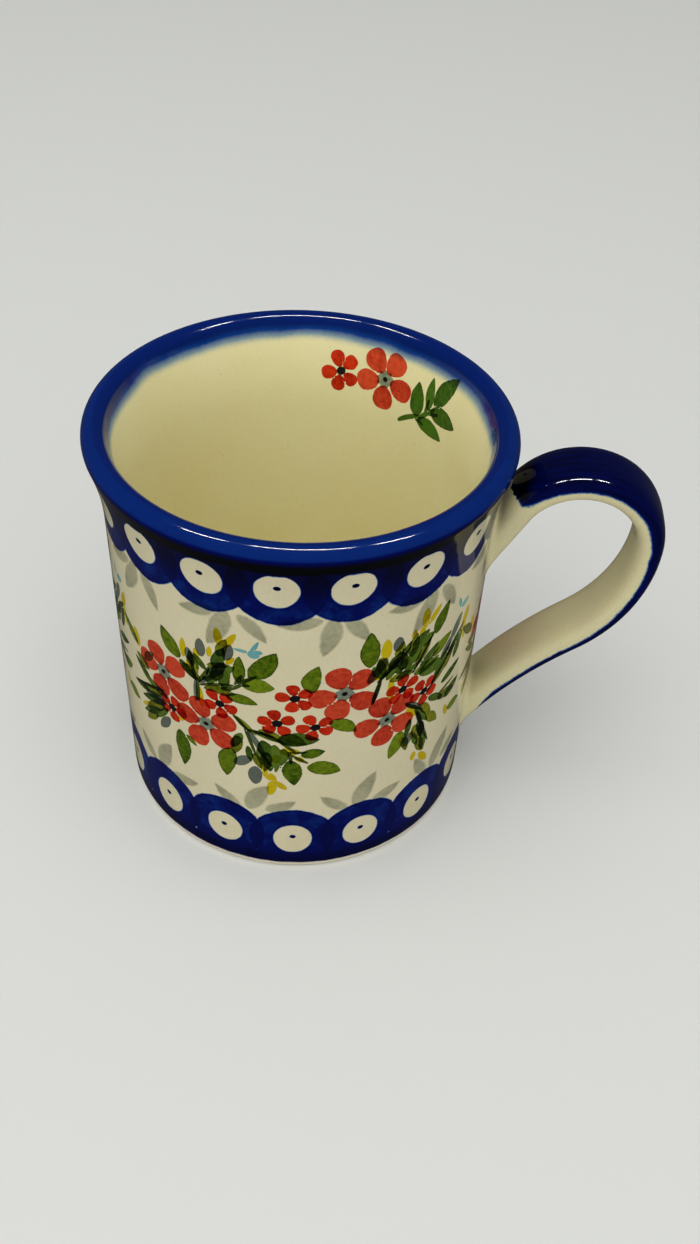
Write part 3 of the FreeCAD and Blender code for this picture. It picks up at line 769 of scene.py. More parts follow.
def landed_strap(inset=0.0):
    """Strap rings whose two ends spread onto the wall, and each strake's curves at both ends."""
    rings = strap_rings(inset)
    count = len(rings)
    ends = []
    for backwards in (False, True):
        order = rings[::-1] if backwards else rings
        middle = order.mean(1)
        root = on_wall(middle[int(np.argmax(off_wall(middle) > 0))], 0)
        ends.append([strake_landing(order[:, number], root) for number in range(SECTION_POINTS)])
    strakes = []
    for number in range(SECTION_POINTS):
        (upper_from, upper, _), (lower_from, lower, _) = ends[0][number], ends[1][number]
        body = rings[upper_from + 1 : count - lower_from - 1, number]
        steps = np.concatenate([[0], np.cumsum(np.linalg.norm(np.diff(body, axis=0), axis=1))])
        even = np.linspace(0, steps[-1], BODY_RINGS)
        body = np.stack([np.interp(even, steps, body[:, axis]) for axis in range(3)], 1)
        strakes.append(np.concatenate([upper, body, lower[::-1]]))
    return np.stack(strakes, 1), ends


coat_rings, coat_ends = landed_strap()
under_rings, _ = landed_strap(COAT)
handle_rings = np.concatenate([coat_rings, under_rings[::-1]])
handle_coat = ring_mesh("handle_coat", handle_rings)
print("handle coat:", len(handle_coat.data.polygons), "faces")

# %% [markdown]
# The clay joints are two small rolls of slip. The coat above them is softer than a machine's fillet,
# so they are made again here from the same curves, a little closer into the corner.

# %% Slip seams
SEAM_SHARE = 0.72
SEAM_DEPTH = 1.0


def slip_seam(name, end, turned_over):
    """A roll of slip that follows the glaze's curve at one end of the strap, just under it."""
    middle = np.mean([hit for _, _, hit in end], axis=0)
    rows = []
    for _, curve, hit in end:
        inwards = (middle - hit) / np.linalg.norm(middle - hit)
        corner = on_wall(hit + inwards * SEAM_DEPTH, SEAM_DEPTH)
        rows.append(np.concatenate([hit + (curve - hit) * SEAM_SHARE, corner[None]]))
    rings = np.stack(rows, 1)
    return ring_mesh(name, rings[::-1] if turned_over else rings)


upper_seam = slip_seam("upper_slip_seam", coat_ends[0], False)
lower_seam = slip_seam("lower_slip_seam", coat_ends[1], True)
print("seams:", len(upper_seam.data.vertices), "and", len(lower_seam.data.vertices), "points")

# %% [markdown]
# The handle's blue is one loaded stroke down its back that laps over both sides and stops just short
# of the wall at both ends. A shader could find it by position alone, but the strap bends, and the
# stroke follows it. So each point stores how far it lies outside the stroke, in millimetres, and how
# far down the strap it is. The shader only has to roughen that edge.

# %% Stroke down the handle
STROKE_START, STROKE_STOP, STROKE_ROUND = 5.5, 2.0, 10.0
STROKE_ALONG = (0, 12, 22, 50, 80, 110, 200)  # millimetres down the strap
STROKE_HALF = (7.6, 8.2, 8.9, 9.0, 8.6, 8.3, 8.2)  # half the stroke's width there


def stroke_edge(rings):
    """How far each strap point lies outside the blue stroke, and how far down the strap it is."""
    down = np.linalg.norm(np.diff(rings.mean(1), axis=0), axis=1)
    along = np.concatenate([[0], np.cumsum(down)])
    out, across = strap_section()
    steps = np.hypot(out - np.roll(out, 1), across - np.roll(across, 1))
    top_of_back = SECTION_POINTS // 4
    around = np.cumsum(steps) - np.cumsum(steps)[top_of_back]
    total = steps.sum()
    around = np.abs((around + total / 2) % total - total / 2)
    half = np.interp(along, STROKE_ALONG, STROKE_HALF)
    for stop, gap in ((STROKE_START, along), (STROKE_STOP, along[-1] - along)):
        back = np.clip((stop + STROKE_ROUND - gap) / STROKE_ROUND, 0, None)
        half = half * np.sqrt(np.clip(1 - back**2, 0, 1)) - np.clip(back - 1, 0, None) * STROKE_ROUND
    edge = around[None] - half[:, None]
    return np.stack([edge, np.broadcast_to(along[:, None], edge.shape), np.zeros_like(edge)], -1)


stroke_places = stroke_edge(coat_rings)
both_sides = np.concatenate([stroke_places, stroke_places[::-1]])
stored = handle_coat.data.attributes.new("stroke", "FLOAT_VECTOR", "POINT")
stored.data.foreach_set("vector", both_sides.astype(np.float32).ravel())
print(f"stroke: {np.ptp(stroke_places[..., 1]):.0f} mm of strap")

# %% [markdown]
# ## Laying the coats out flat
#
# When the look is baked to a picture for other programs, every face needs its own place on that
# picture. Blender can unwrap by itself, but a turned coat unrolls exactly: two strips, one for each
# half of the mug, and a thin strip for the side that lies on the clay.

# %% Bake layout
STRIPS = 2
SHOWN_SHARE = 0.94
GUTTER = 0.004
LID_PLACE = (0.5, 0.999)


def lay_out(piece, rings, shown_rows):
    """Gives a ring mesh a map of two strips for the faces that show, and one thin strip for the rest."""
    rows, around = rings.shape[:2]
    half = around // STRIPS
    steps = np.linalg.norm(np.diff(np.concatenate([rings, rings[:1]]), axis=0), axis=2).mean(1)
    run = np.concatenate([[0], np.cumsum(steps)])
    layout = piece.data.uv_layers.new(name="OFBake")
    places = np.zeros((len(piece.data.loops), 2), np.float32)
    for face in piece.data.polygons:
        corner = face.loop_start
        row, column = divmod(face.vertices[0], around)
        if len(face.vertices) != 4:
            places[corner : corner + face.loop_total] = LID_PLACE
            continue
        left = column % half / half
        side = [left, left + 1 / half, left + 1 / half, left]
        if row < shown_rows:
            start, end = 0.0, run[shown_rows]
            foot = column // half * SHOWN_SHARE / STRIPS + GUTTER
            tall = SHOWN_SHARE / STRIPS - 2 * GUTTER
        else:
            start, end = run[shown_rows], run[-1]
            foot = SHOWN_SHARE + GUTTER
            tall = 1 - SHOWN_SHARE - 3 * GUTTER
        low, high = ((run[at] - start) / (end - start) for at in (row, row + 1))
        level = [foot + tall * share for share in (low, low, high, high)]
        places[corner : corner + 4] = np.stack([side, level], 1)
    layout.data.foreach_set("uv", places.ravel())


lay_out(outside_coat, outside_rings, len(outside_shown) - 1)
lay_out(inside_coat, inside_rings, len(inside_shown) - 1)
lay_out(handle_coat, handle_rings, len(coat_rings) - 1)
print("layouts:", outside_coat.data.uv_layers[0].name, inside_coat.data.uv_layers[0].name)

# %% [markdown]
# ## A short way to write shaders
#
# The glaze's recipe is a long sum: how far inside a dab, how thick the cobalt, how much of it stays.
# Nodes can be linked by hand, but a sum is easier to read as a sum. A Wire is a node's output
# that adds and multiplies like a number, and every step of it still becomes an ordinary Math node.

# %% Wires
def plug(tree, value, socket):
    """Links a wire to a socket, or sets the socket's own value."""
    if isinstance(value, Wire):
        tree.links.new(value.socket, socket)
    else:
        socket.default_value = value


class Wire:
    """A node's output, used in sums."""

    def __init__(self, tree, socket):
        self.tree, self.socket = tree, socket

    def maths(self, operation, *others):
        """This and the others through one Math node."""
        node = self.tree.nodes.new("ShaderNodeMath")
        node.operation = operation
        for value, socket in zip((self, *others), node.inputs):
            plug(self.tree, value, socket)
        return Wire(self.tree, node.outputs[0])

    def __add__(self, other):
        return self.maths("ADD", other)

    def __sub__(self, other):
        return self.maths("SUBTRACT", other)

    def __mul__(self, other):
        return self.maths("MULTIPLY", other)

    def __truediv__(self, other):
        return self.maths("DIVIDE", other)

    def __pow__(self, other):
        return self.maths("POWER", other)

    def __abs__(self):
        return self.maths("ABSOLUTE")

    def less_from(self, whole):
        """The whole minus this."""
        return self * -1.0 + whole

    def clipped(self):
        """Held between 0 and 1."""
        return self.maths("MAXIMUM", 0.0).maths("MINIMUM", 1.0)

    def smooth(self, low, high):
        """0 below low, 1 above high, and a soft step between."""
        node = self.tree.nodes.new("ShaderNodeMapRange")
        node.interpolation_type = "SMOOTHSTEP"
        for value, name in ((self, "Value"), (low, "From Min"), (high, "From Max")):
            plug(self.tree, value, node.inputs[name])
        return Wire(self.tree, node.outputs[0])


print("a wire knows:", [word for word in vars(Wire) if not word.startswith("_")])

# %% [markdown]
# A Recipe holds one finish. It knows the few nodes that glaze and clay need, all in millimetres: fine
# and coarse noise, a stored place, a colour laid over a colour as a stain, and the glossy skin. A node
# group would do the same, but a method can be read from top to bottom.

# %% Recipes
MIX_FACTOR, MIX_UNDER, MIX_OVER, MIX_RESULT = 0, 6, 7, 2  # the colour sockets of a Mix node
GLAZE_GLOSS = 0.15


class Recipe:
    """One finish and the nodes it is made of."""

    def __init__(self, name):
        self.finish = bpy.data.materials.new(name)
        self.finish.use_nodes = True
        self.tree = self.finish.node_tree
        self.skin = self.tree.nodes["Principled BSDF"]
        metres = self.add("ShaderNodeTexCoord", {}, "Object")
        scaled = {"Vector": metres, "Scale": 1 / MM}
        self.place = self.add("ShaderNodeVectorMath", scaled, operation="SCALE")

    def add(self, kind, inputs, output=0, **settings):
        """A new node with its settings made and its inputs plugged, as the wire of one output."""
        node = self.tree.nodes.new(kind)
        for name, value in settings.items():
            setattr(node, name, value)
        for name, value in inputs.items():
            plug(self.tree, value, node.inputs[name])
        return Wire(self.tree, node.outputs[output])

    def split(self, vector):
        """The three numbers of a vector."""
        whole = self.add("ShaderNodeSeparateXYZ", {"Vector": vector})
        return [Wire(self.tree, socket) for socket in whole.socket.node.outputs]

    def stored(self, layer):
        """The three numbers that a coat stores under a layer's name."""
        return self.split(self.add("ShaderNodeAttribute", {}, "Vector", attribute_name=layer))

    def noise(self, size, detail=2.0, shift=0.0, rough=0.5):
        """Cloudy noise with lumps of about size millimetres, spread round 0."""
        where = self.place
        if shift:
            aside = (shift, shift, shift)
            where = self.add("ShaderNodeVectorMath", {0: where, 1: aside}, operation="ADD")
        inputs = {"Vector": where, "Scale": 1 / size, "Detail": detail, "Roughness": rough}
        return (self.add("ShaderNodeTexNoise", inputs) - 0.5) * 2.0

    def blend(self, share, under, over, way="MIX"):
        """One colour over another."""
        inputs = {MIX_FACTOR: share, MIX_UNDER: under, MIX_OVER: over}
        return self.add("ShaderNodeMix", inputs, MIX_RESULT, data_type="RGBA", blend_type=way)

    def stain(self, ground, cover, thin, deep, depth):
        """A stain laid over a ground: what is under it shows through, less where it is deep."""
        return self.blend(cover, ground, self.blend(depth.clipped(), thin, deep), "MULTIPLY")

    def ramp(self, share, *stops):
        """Colours blended along a scale of positions."""
        result = self.add("ShaderNodeValToRGB", {"Fac": share})
        places = result.socket.node.color_ramp.elements
        while len(places) < len(stops):
            places.new(0.5)
        for place, (position, colour) in zip(places, stops):
            place.position, place.color = position, colour
        return result

    def finish_with(self, colour, roughness, bump=None, bump_height=0.0, gloss=GLAZE_GLOSS):
        """Plugs the colour into the skin, and dents the skin by a wire, bump_height mm for each unit."""
        plug(self.tree, colour, self.skin.inputs["Base Color"])
        self.skin.inputs["Specular IOR Level"].default_value = gloss
        plug(self.tree, roughness, self.skin.inputs["Roughness"])
        if bump is not None:
            dents = self.add("ShaderNodeBump", {"Height": bump, "Distance": bump_height * MM})
            plug(self.tree, dents, self.skin.inputs["Normal"])
        print(f"{self.finish.name}: {len(self.tree.nodes)} nodes")
        return self.finish


def opaque(red, green, blue):
    """A colour with nothing showing through the surface itself."""
    return (red, green, blue, 1.0)


print("a recipe knows:", [word for word in vars(Recipe) if not word.startswith("_")])

# %% [markdown]
# ## Clay and cream glaze
#
# The clay is a pale buff stoneware. Fired, it is matt, faintly gritty, and full of tiny brown specks
# of iron. The clear glaze turns it cream and lets the larger specks show. Inside the bowl the cream is
# made brighter than outside, as painted light, and yellower. Both grounds come first, because every
# colour is laid over them. Specks could be scattered as small objects, but a cell pattern with most of
# its cells left empty costs nothing and never repeats.

# %% Grounds
CREAM = opaque(0.62, 0.57, 0.39)
CREAM_SHADE = opaque(0.56, 0.5, 0.32)
STRAP_CREAM = opaque(0.63, 0.59, 0.34)
# Inside the bowl: brighter than the outside cream, as painted light, and yellower.
LIT_INSIDE_CREAM = opaque(0.84, 0.79, 0.48)
LIT_INSIDE_CREAM_SHADE = opaque(0.8, 0.725, 0.37)
BARE_CLAY = opaque(0.68, 0.62, 0.5)
BARE_CLAY_DARK = opaque(0.62, 0.53, 0.4)
IRON = opaque(0.34, 0.27, 0.18)
LARGE_SPECKS, SMALL_SPECKS = (1.3, 0.13, 0.3), (0.6, 0.06, 0.4)  # spacing, size, share of cells
CLAY_SPECKS = (0.9, 0.16, 0.4)
LEAST_SPECK, SPECK_EDGE = 0.3, 0.4
LARGE_SHOW, SMALL_SHOW, CLAY_SHOW = 0.55, 0.35, 0.7
CLOUDS, GRAIN, MEAN_DEPTH = 0.5, 0.6, 0.4
CLAY_CLOUDS, CLAY_DEPTH = 0.7, 0.4
CLAY_ROUGH, GRIT_ROUGH = 0.72, 0.08


def specks(recipe, spacing, size, share):
    """Small round specks: a wire that is 1 inside the few cells that have one."""
    inputs = {"Vector": recipe.place, "Scale": 1 / spacing}
    near = recipe.add("ShaderNodeTexVoronoi", inputs, "Distance")
    colour = recipe.split(recipe.add("ShaderNodeTexVoronoi", inputs, "Color"))
    chosen = colour[0].smooth(1 - share, 1 - share + 0.01)
    wide = size / spacing
    radius = colour[1] * wide + wide * LEAST_SPECK
    return (radius - near).smooth(0.0, wide * SPECK_EDGE) * chosen


def cream_ground(recipe, cream=CREAM, shade=CREAM_SHADE):
    """Cream glaze with slow clouds of depth, a fine grain and iron specks."""
    clouds, grain = recipe.noise(14, detail=2), recipe.noise(0.6, detail=3, shift=41)
    depth = clouds * CLOUDS + grain * GRAIN + MEAN_DEPTH
    ground = recipe.blend(depth.clipped(), cream, shade)
    ground = recipe.blend(specks(recipe, *LARGE_SPECKS) * LARGE_SHOW, ground, IRON)
    return recipe.blend(specks(recipe, *SMALL_SPECKS) * SMALL_SHOW, ground, IRON)


def bare_clay(name):
    """Matt unglazed stoneware."""
    recipe = Recipe(name)
    depth = recipe.noise(5, detail=4) * CLAY_CLOUDS + CLAY_DEPTH
    ground = recipe.blend(depth.clipped(), BARE_CLAY, BARE_CLAY_DARK)
    ground = recipe.blend(specks(recipe, *CLAY_SPECKS) * CLAY_SHOW, ground, IRON)
    grit = recipe.noise(0.5, detail=3)
    return recipe.finish_with(ground, grit * GRIT_ROUGH + CLAY_ROUGH, bump=grit, bump_height=0.05)


def cream_glaze(name):
    """Plain cream glaze, with the faint waves that a poured glaze keeps."""
    recipe = Recipe(name)
    waves = recipe.noise(7, detail=1)
    return recipe.finish_with(cream_ground(recipe), roughness=0.09, bump=waves, bump_height=0.03)


stoneware = bare_clay("fired_stoneware")
base_cream = cream_glaze("cream_base_glaze")

# %% [markdown]
# ## Cobalt
#
# Cobalt is judged by how thick it lies. A thin wash is sky blue, one print is a strong blue, and where
# two prints overlap it goes navy. So everything blue adds to one thickness, and a single scale turns
# the sum into a colour. The scale is what makes overlaps and pools look right without extra work.

# %% Cobalt scale
COBALT_FULL = 3.0
COBALT_STOPS = (
    (0.0, opaque(1, 1, 1)),
    (0.1, opaque(0.28, 0.44, 0.88)),
    (0.22, opaque(0.006, 0.055, 0.53)),
    (0.33, opaque(0.001, 0.006, 0.2)),
    (0.6, opaque(0.0008, 0.002, 0.07)),
    (1.0, opaque(0.0005, 0.001, 0.004)),
)


def cobalt_over(recipe, ground, thickness):
    """The cobalt's colour for its thickness, laid over a ground."""
    colour = recipe.ramp(thickness / COBALT_FULL, *COBALT_STOPS)
    return recipe.blend(1.0, ground, colour, "MULTIPLY")


print("cobalt scale:", len(COBALT_STOPS), "stops up to", COBALT_FULL, "coats")

# %% [markdown]
# An eye is three rounds: the sponge's outline, the hole that leaves a cream disc, and the small pupil
# dotted in afterwards with a brush. Each could be a ring of geometry, but as distances from the
# print's middle they take a few sums, and the same shake that roughens the dabs roughens them.

# %% One eye
RING_RADIUS = 9.5
DISC_WIDE, DISC_TALL, DISC_LOW = 4.15, 4.55, 0.3
PUPIL_WIDE, PUPIL_TALL, PUPIL_HIGH = 0.62, 0.55, 0.5
PRINT_COAT, EDGE_EXTRA, EDGE_WIDE, PUPIL_COAT = 0.95, 0.35, 0.7, 2.2
PRINT_FROM, PRINT_TO = -0.14, 0.42
PUPIL_FROM, PUPIL_TO = -0.3, 0.45
DISC_SHAKE, PUPIL_SHAKE = 0.5, 0.4


def round_about(x, y):
    """Distance from the middle."""
    return (x * x + y * y) ** 0.5


def eyes(recipe, layer, shake):
    """How thick the cobalt of one layer of eyes lies. The sponge's hole leaves the ground bare."""
    x, y, _ = recipe.stored(layer)
    out = round_about(x, y).less_from(RING_RADIUS) + shake
    disc = (round_about(x / DISC_WIDE, (y + DISC_LOW) / DISC_TALL) - 1.0) * DISC_TALL
    pupil = (round_about(x / PUPIL_WIDE, (y - PUPIL_HIGH) / PUPIL_TALL) - 1.0).less_from(0.0)
    inside = out.maths("MINIMUM", disc + shake * DISC_SHAKE)
    coat = inside.smooth(0.0, EDGE_WIDE).less_from(1.0) * EDGE_EXTRA + PRINT_COAT
    dot = (pupil + shake * PUPIL_SHAKE).smooth(PUPIL_FROM, PUPIL_TO)
    return inside.smooth(PRINT_FROM, PRINT_TO) * coat + dot * PUPIL_COAT


print(f"eye: {2 * RING_RADIUS:.0f} mm print, {2 * DISC_WIDE:.1f} mm disc")

# %% [markdown]
# ## Dabs of colour
#
# Each painted layer asks the same question of its stored place: how far inside the dab is this spot?
# A dab's half width grows from its start and shrinks to its tip by its profile. What is left after
# taking the distance aside is the depth in millimetres. The edge is where the depth is nothing, and
# a shake of noise keeps it from looking cut with scissors. Thin dabs are shaken less, so that a stem
# isn't broken into dots.

# %% Dab shader
END_SLOPE = 8.0
FULL_SHAKE_HALF = 1.8
WAVER, TOOTH = 0.3, 0.12


def dab(recipe, layer, profile, shake, soft=0.12):
    """A layer's cover from 0 to 1, its depth in mm, its place along the dab, and a number of its own."""
    rise, fall = PROFILES[profile]
    along, aside, code = recipe.stored(layer)
    number = code.maths("FLOOR")
    half = (code - number) * WIDTH_UNITS
    inside = along.clipped()
    width = inside**rise * inside.less_from(1.0) ** fall / peak(rise, fall)
    beyond = (abs(along - 0.5) - 0.5).maths("MAXIMUM", 0.0) * END_SLOPE
    depth = (width - abs(aside)) * half - beyond + shake * (half / FULL_SHAKE_HALF).clipped()
    own = recipe.add("ShaderNodeTexWhiteNoise", {"W": number}, noise_dimensions="1D")
    return depth.smooth(-soft / 2, soft), depth, inside, own


def shaken_edge(recipe):
    """The hand's slow waver and the sponge's fine tooth, in mm."""
    return recipe.noise(3.0, detail=2) * WAVER + recipe.noise(0.7, detail=2, shift=31) * TOOTH


def mottled(recipe):
    """How unevenly a sponge gives off its colour."""
    return recipe.noise(1.1, detail=4, shift=57, rough=0.65)


print(f"edges waver by {WAVER} mm, with a tooth of {TOOTH} mm")

# %% [markdown]
# ## The painted outside
#
# Paint that hides what is under it would be a plain mix of colours. These are stains: each is the
# share of light that it lets through, where it lies thin and where it lies deep. A leaf that crosses
# a flower then turns almost black, as it does on the real mug.

# %% Stain colours
THIN = {
    "shadow": opaque(0.64, 0.68, 0.65),
    "yellow": opaque(0.76, 0.66, 0.015),
    "turquoise": opaque(0.25, 0.66, 0.95),
    "coral": opaque(0.8, 0.095, 0.055),
    "small_red": opaque(0.78, 0.045, 0.014),
    "leaf": opaque(0.22, 0.34, 0.02),
    "olive": opaque(0.3, 0.34, 0.025),
    "dark_leaf": opaque(0.13, 0.24, 0.035),
    "sprig_leaf": opaque(0.07, 0.2, 0.02),
    "slate": opaque(0.19, 0.24, 0.28),
    "stem": opaque(0.09, 0.15, 0.03),
    "middle": opaque(0.36, 0.43, 0.46),
}
DEEP = {
    "shadow": opaque(0.2, 0.22, 0.2),
    "yellow": opaque(0.58, 0.4, 0.003),
    "turquoise": opaque(0.02, 0.3, 0.7),
    "coral": opaque(0.44, 0.016, 0.01),
    "small_red": opaque(0.31, 0.003, 0.002),
    "leaf": opaque(0.03, 0.09, 0.004),
    "olive": opaque(0.1, 0.14, 0.01),
    "dark_leaf": opaque(0.024, 0.07, 0.01),
    "sprig_leaf": opaque(0.006, 0.035, 0.005),
    "slate": opaque(0.045, 0.06, 0.09),
    "stem": opaque(0.015, 0.03, 0.008),
    "middle": opaque(0.14, 0.19, 0.22),
}
BLACK_STAIN = opaque(0.01, 0.012, 0.02)
print("stains:", sorted(THIN))

# %% [markdown]
# A stroke is never one flat colour. Colour gathers at its edge and where the brush was set down, and
# each sponge print comes out a little stronger or weaker than the last. One number from 0 to 1 says
# how deep the stain lies at a spot, and each kind of stroke adds that number up in its own way.

# %% Kinds of stroke
SPONGE_EDGE, BRUSH_EDGE = 0.5, 0.3  # how wide the colour gathers, in millimetres
LEAF_EDGE, LEAF_ENDS, LEAF_MOTTLE = 0.5, 0.3, 1.0
PETAL_EDGE, PETAL_HEART, PETAL_OWN, PETAL_MOTTLE, PETAL_DEPTH = 0.2, 0.3, 0.45, 1.1, 0.06
FLICK_OWN, FLICK_EDGE, FLICK_MOTTLE, FLICK_SHAKE, FLICK_SOFT = 0.4, 0.4, 0.3, 0.7, 0.1
HEART_LENGTH = 0.4


def leafy(recipe, ground, layer, tint, shake, mottle, vary):
    """Leaves: each its own depth of green, darker at its edge and towards both ends."""
    cover, depth, along, own = dab(recipe, layer, "leaf", shake)
    edge = depth.smooth(0.0, SPONGE_EDGE).less_from(1.0)
    ends = (abs(along - 0.5) * 2.0) ** 3.0
    share = own * vary + edge * LEAF_EDGE + ends * LEAF_ENDS + mottle * LEAF_MOTTLE
    return recipe.stain(ground, cover, THIN[tint], DEEP[tint], share)


def petalled(recipe, ground, layer, tint, shake, mottle):
    """Petals: brighter in the middle, deeper at the edge and near the flower's own middle."""
    cover, depth, along, own = dab(recipe, layer, "petal", shake)
    edge = depth.smooth(0.0, SPONGE_EDGE).less_from(1.0)
    heart = along.smooth(HEART_LENGTH, 0.0)
    share = edge * PETAL_EDGE + heart * PETAL_HEART + own * PETAL_OWN + mottle * PETAL_MOTTLE + PETAL_DEPTH
    return recipe.stain(ground, cover, THIN[tint], DEEP[tint], share)


def flicked(recipe, ground, layer, profile, tint, shake, mottle):
    """Buds, flicks and stems: one touch of the brush, with colour gathered at the edge."""
    cover, depth, _, own = dab(recipe, layer, profile, shake * FLICK_SHAKE, FLICK_SOFT)
    edge = depth.smooth(0.0, BRUSH_EDGE).less_from(1.0)
    share = own * FLICK_OWN + edge * FLICK_EDGE + mottle * FLICK_MOTTLE
    return recipe.stain(ground, cover, THIN[tint], DEEP[tint], share)


print(f"colour gathers {SPONGE_EDGE} mm wide at a print's edge, {BRUSH_EDGE} mm at a brush stroke's")

# %% [markdown]
# A big flower's middle is a grey spot with a ragged edge, stamped with a cut stick, and a black dot in
# it. A small flower's is the black dot alone. Both are made from the distance to the spot's middle,
# and the spot's number, even or odd, says which one it is.

# %% Flower middles
NOTCHES, NOTCH_DEPTH = 9.0, 0.1
DOT_FROM = 0.68
GREY_DEPTH = 0.4
SPOT_SHAKE, DOT_SHAKE = 0.3, 0.2
GREY_EDGE, DOT_EDGE, BLACK_EDGE = (0.0, 0.06), (-0.04, 0.1), (0.0, 0.1)


def flower_middles(recipe, ground, shake):
    """Grey middles with a black dot on even spots, black dots alone on odd ones."""
    x, y, code = recipe.stored("middle")
    odd = code.maths("FLOOR").maths("MODULO", 2.0)
    out = round_about(x, y).less_from(1.0)
    turn = y.maths("ARCTAN2", x) * NOTCHES
    ragged = out + turn.maths("SINE") * NOTCH_DEPTH + shake * SPOT_SHAKE
    grey = ragged.smooth(*GREY_EDGE) * odd.less_from(1.0)
    share = recipe.noise(0.8, detail=2) + GREY_DEPTH
    ground = recipe.stain(ground, grey, THIN["middle"], DEEP["middle"], share)
    dot = (out - DOT_FROM + shake * DOT_SHAKE).smooth(*DOT_EDGE) * odd.less_from(1.0)
    black = (out + shake * SPOT_SHAKE).smooth(*BLACK_EDGE) * odd
    return recipe.stain(ground, dot.maths("MAXIMUM", black), BLACK_STAIN, BLACK_STAIN, out)


print(f"middles: {NOTCHES:.0f} notches round the grey ones")

# %% [markdown]
# The garland's layers go on in the order of the real work: pale shadow leaves, yellow and turquoise
# flicks, the red flowers, the greens, and the thin dark strokes last. Each line below lays one layer
# over what the lines before it made.

# %% Garland layers
SHADOW_COVER, SHADOW_SOFT = 0.9, 0.5
SHADOW_MOTTLE, SHADOW_TIP, SHADOW_DEPTH = 0.5, 0.4, 0.2
LEAF_VARY, OLIVE_VARY, SPRIG_VARY = 0.7, 0.8, 0.4


def garland_over(recipe, ground, shake, mottle):
    """The shadow leaves and the whole garland, laid over a ground."""
    cover, _, along, _ = dab(recipe, "shadow_leaf", "leaf", shake, SHADOW_SOFT)
    share = mottle * SHADOW_MOTTLE + along * SHADOW_TIP + SHADOW_DEPTH
    ground = recipe.stain(ground, cover * SHADOW_COVER, THIN["shadow"], DEEP["shadow"], share)
    ground = flicked(recipe, ground, "yellow_flick", "bud", "yellow", shake, mottle)
    ground = flicked(recipe, ground, "turquoise_wisp", "bud", "turquoise", shake, mottle)
    ground = petalled(recipe, ground, "big_petal", "coral", shake, mottle)
    ground = petalled(recipe, ground, "small_petal", "small_red", shake, mottle)
    ground = leafy(recipe, ground, "leaf", "leaf", shake, mottle, LEAF_VARY)
    ground = leafy(recipe, ground, "olive_leaf", "olive", shake, mottle, OLIVE_VARY)
    ground = leafy(recipe, ground, "dark_leaf", "dark_leaf", shake, mottle, LEAF_VARY)
    ground = flicked(recipe, ground, "slate_bud", "bud", "slate", shake, mottle)
    ground = flicked(recipe, ground, "stem", "stem", "stem", shake, mottle)
    return flower_middles(recipe, ground, shake)


print(f"leaves differ in depth by up to {OLIVE_VARY}")

# %% [markdown]
# The rim was banded in cobalt on a turning wheel, and so was the foot. The rim's band is thin on the
# crest, where the glaze ran off it in the kiln, and thick on its side, which partly paints the shade
# and dark reflection under the rim. Below the band the prints are made darker too, as painted shade
# and painted dark reflection under the flare, and the blue also darkens towards the foot. All of that
# goes in as thickness, so it is one more sum: the prints, the bands, and a blotchy factor over both.

# %% Cobalt bands
RIM_BAND, FOOT_BAND = HEIGHT - 6.2, 5.6
RIM_EDGE, FOOT_EDGE = (-0.1, 1.4), (-0.1, 0.5)
FOOT_LINE, FOOT_LINE_SOFT = 1.8, 0.4
CREST_FROM, CREST_TO = HEIGHT - 4.6, HEIGHT - 1.6
RIM_COAT, CREST_COAT, FOOT_COAT = 2.5, 0.82, 1.1
PRINTS_GONE, PRINTS_WHOLE = HEIGHT - 2.5, HEIGHT - 5.5
DOUBLE_SHARE = 0.35
BAND_WAVER, FOOT_WAVER = 0.9, 0.4
UNDER_RIM_SHADE_FROM, UNDER_RIM_SHADE_TO, UNDER_RIM_SHADE_MORE = HEIGHT - 15, HEIGHT - 5, 0.9
LOW_FROM, LOW_TO, LOW_MORE = 9.0, 1.5, 0.7
FINE_BLOTCH, BROAD_BLOTCH, CREST_EVEN = 0.16, 0.28, 0.85


def outside_cobalt(recipe, height, shake, mottle):
    """How thick the cobalt lies: eyes, rim and foot bands, and painted shade under the rim."""
    one, two = (eyes(recipe, layer, shake) for layer in ("ring_one", "ring_two"))
    blue = one.maths("MAXIMUM", two) + one.maths("MINIMUM", two) * DOUBLE_SHARE
    blue = blue * height.smooth(PRINTS_GONE, PRINTS_WHOLE)
    waver = recipe.noise(9, detail=2, shift=11) * BAND_WAVER + shake
    crest = height.smooth(CREST_FROM, CREST_TO)
    # The crest is thin where the glaze ran off; the thick side partly paints shade and dark reflection
    # under the rim.
    rim_coat = crest * (CREST_COAT - RIM_COAT) + RIM_COAT
    rim = (height - RIM_BAND + waver).smooth(*RIM_EDGE) * rim_coat
    foot = (height.less_from(FOOT_BAND) + waver * FOOT_WAVER).smooth(*FOOT_EDGE) * FOOT_COAT
    blue = blue.maths("MAXIMUM", rim).maths("MAXIMUM", foot)
    # Painted shade and dark reflection under the flare: the blue below the rim band is made thicker.
    under_rim_shade = height.smooth(UNDER_RIM_SHADE_FROM, UNDER_RIM_SHADE_TO) * crest.less_from(1.0) * UNDER_RIM_SHADE_MORE
    # The blue is also made darker towards the foot.
    low = height.smooth(LOW_FROM, LOW_TO) * LOW_MORE
    blotch = mottle * FINE_BLOTCH + recipe.noise(5, detail=2, shift=5) * BROAD_BLOTCH
    blotch = blotch * (crest * -CREST_EVEN + 1.0)
    wiped = (height + shake).smooth(FOOT_LINE, FOOT_LINE + FOOT_LINE_SOFT)
    return blue * (blotch + under_rim_shade + low + 1.0) * wiped


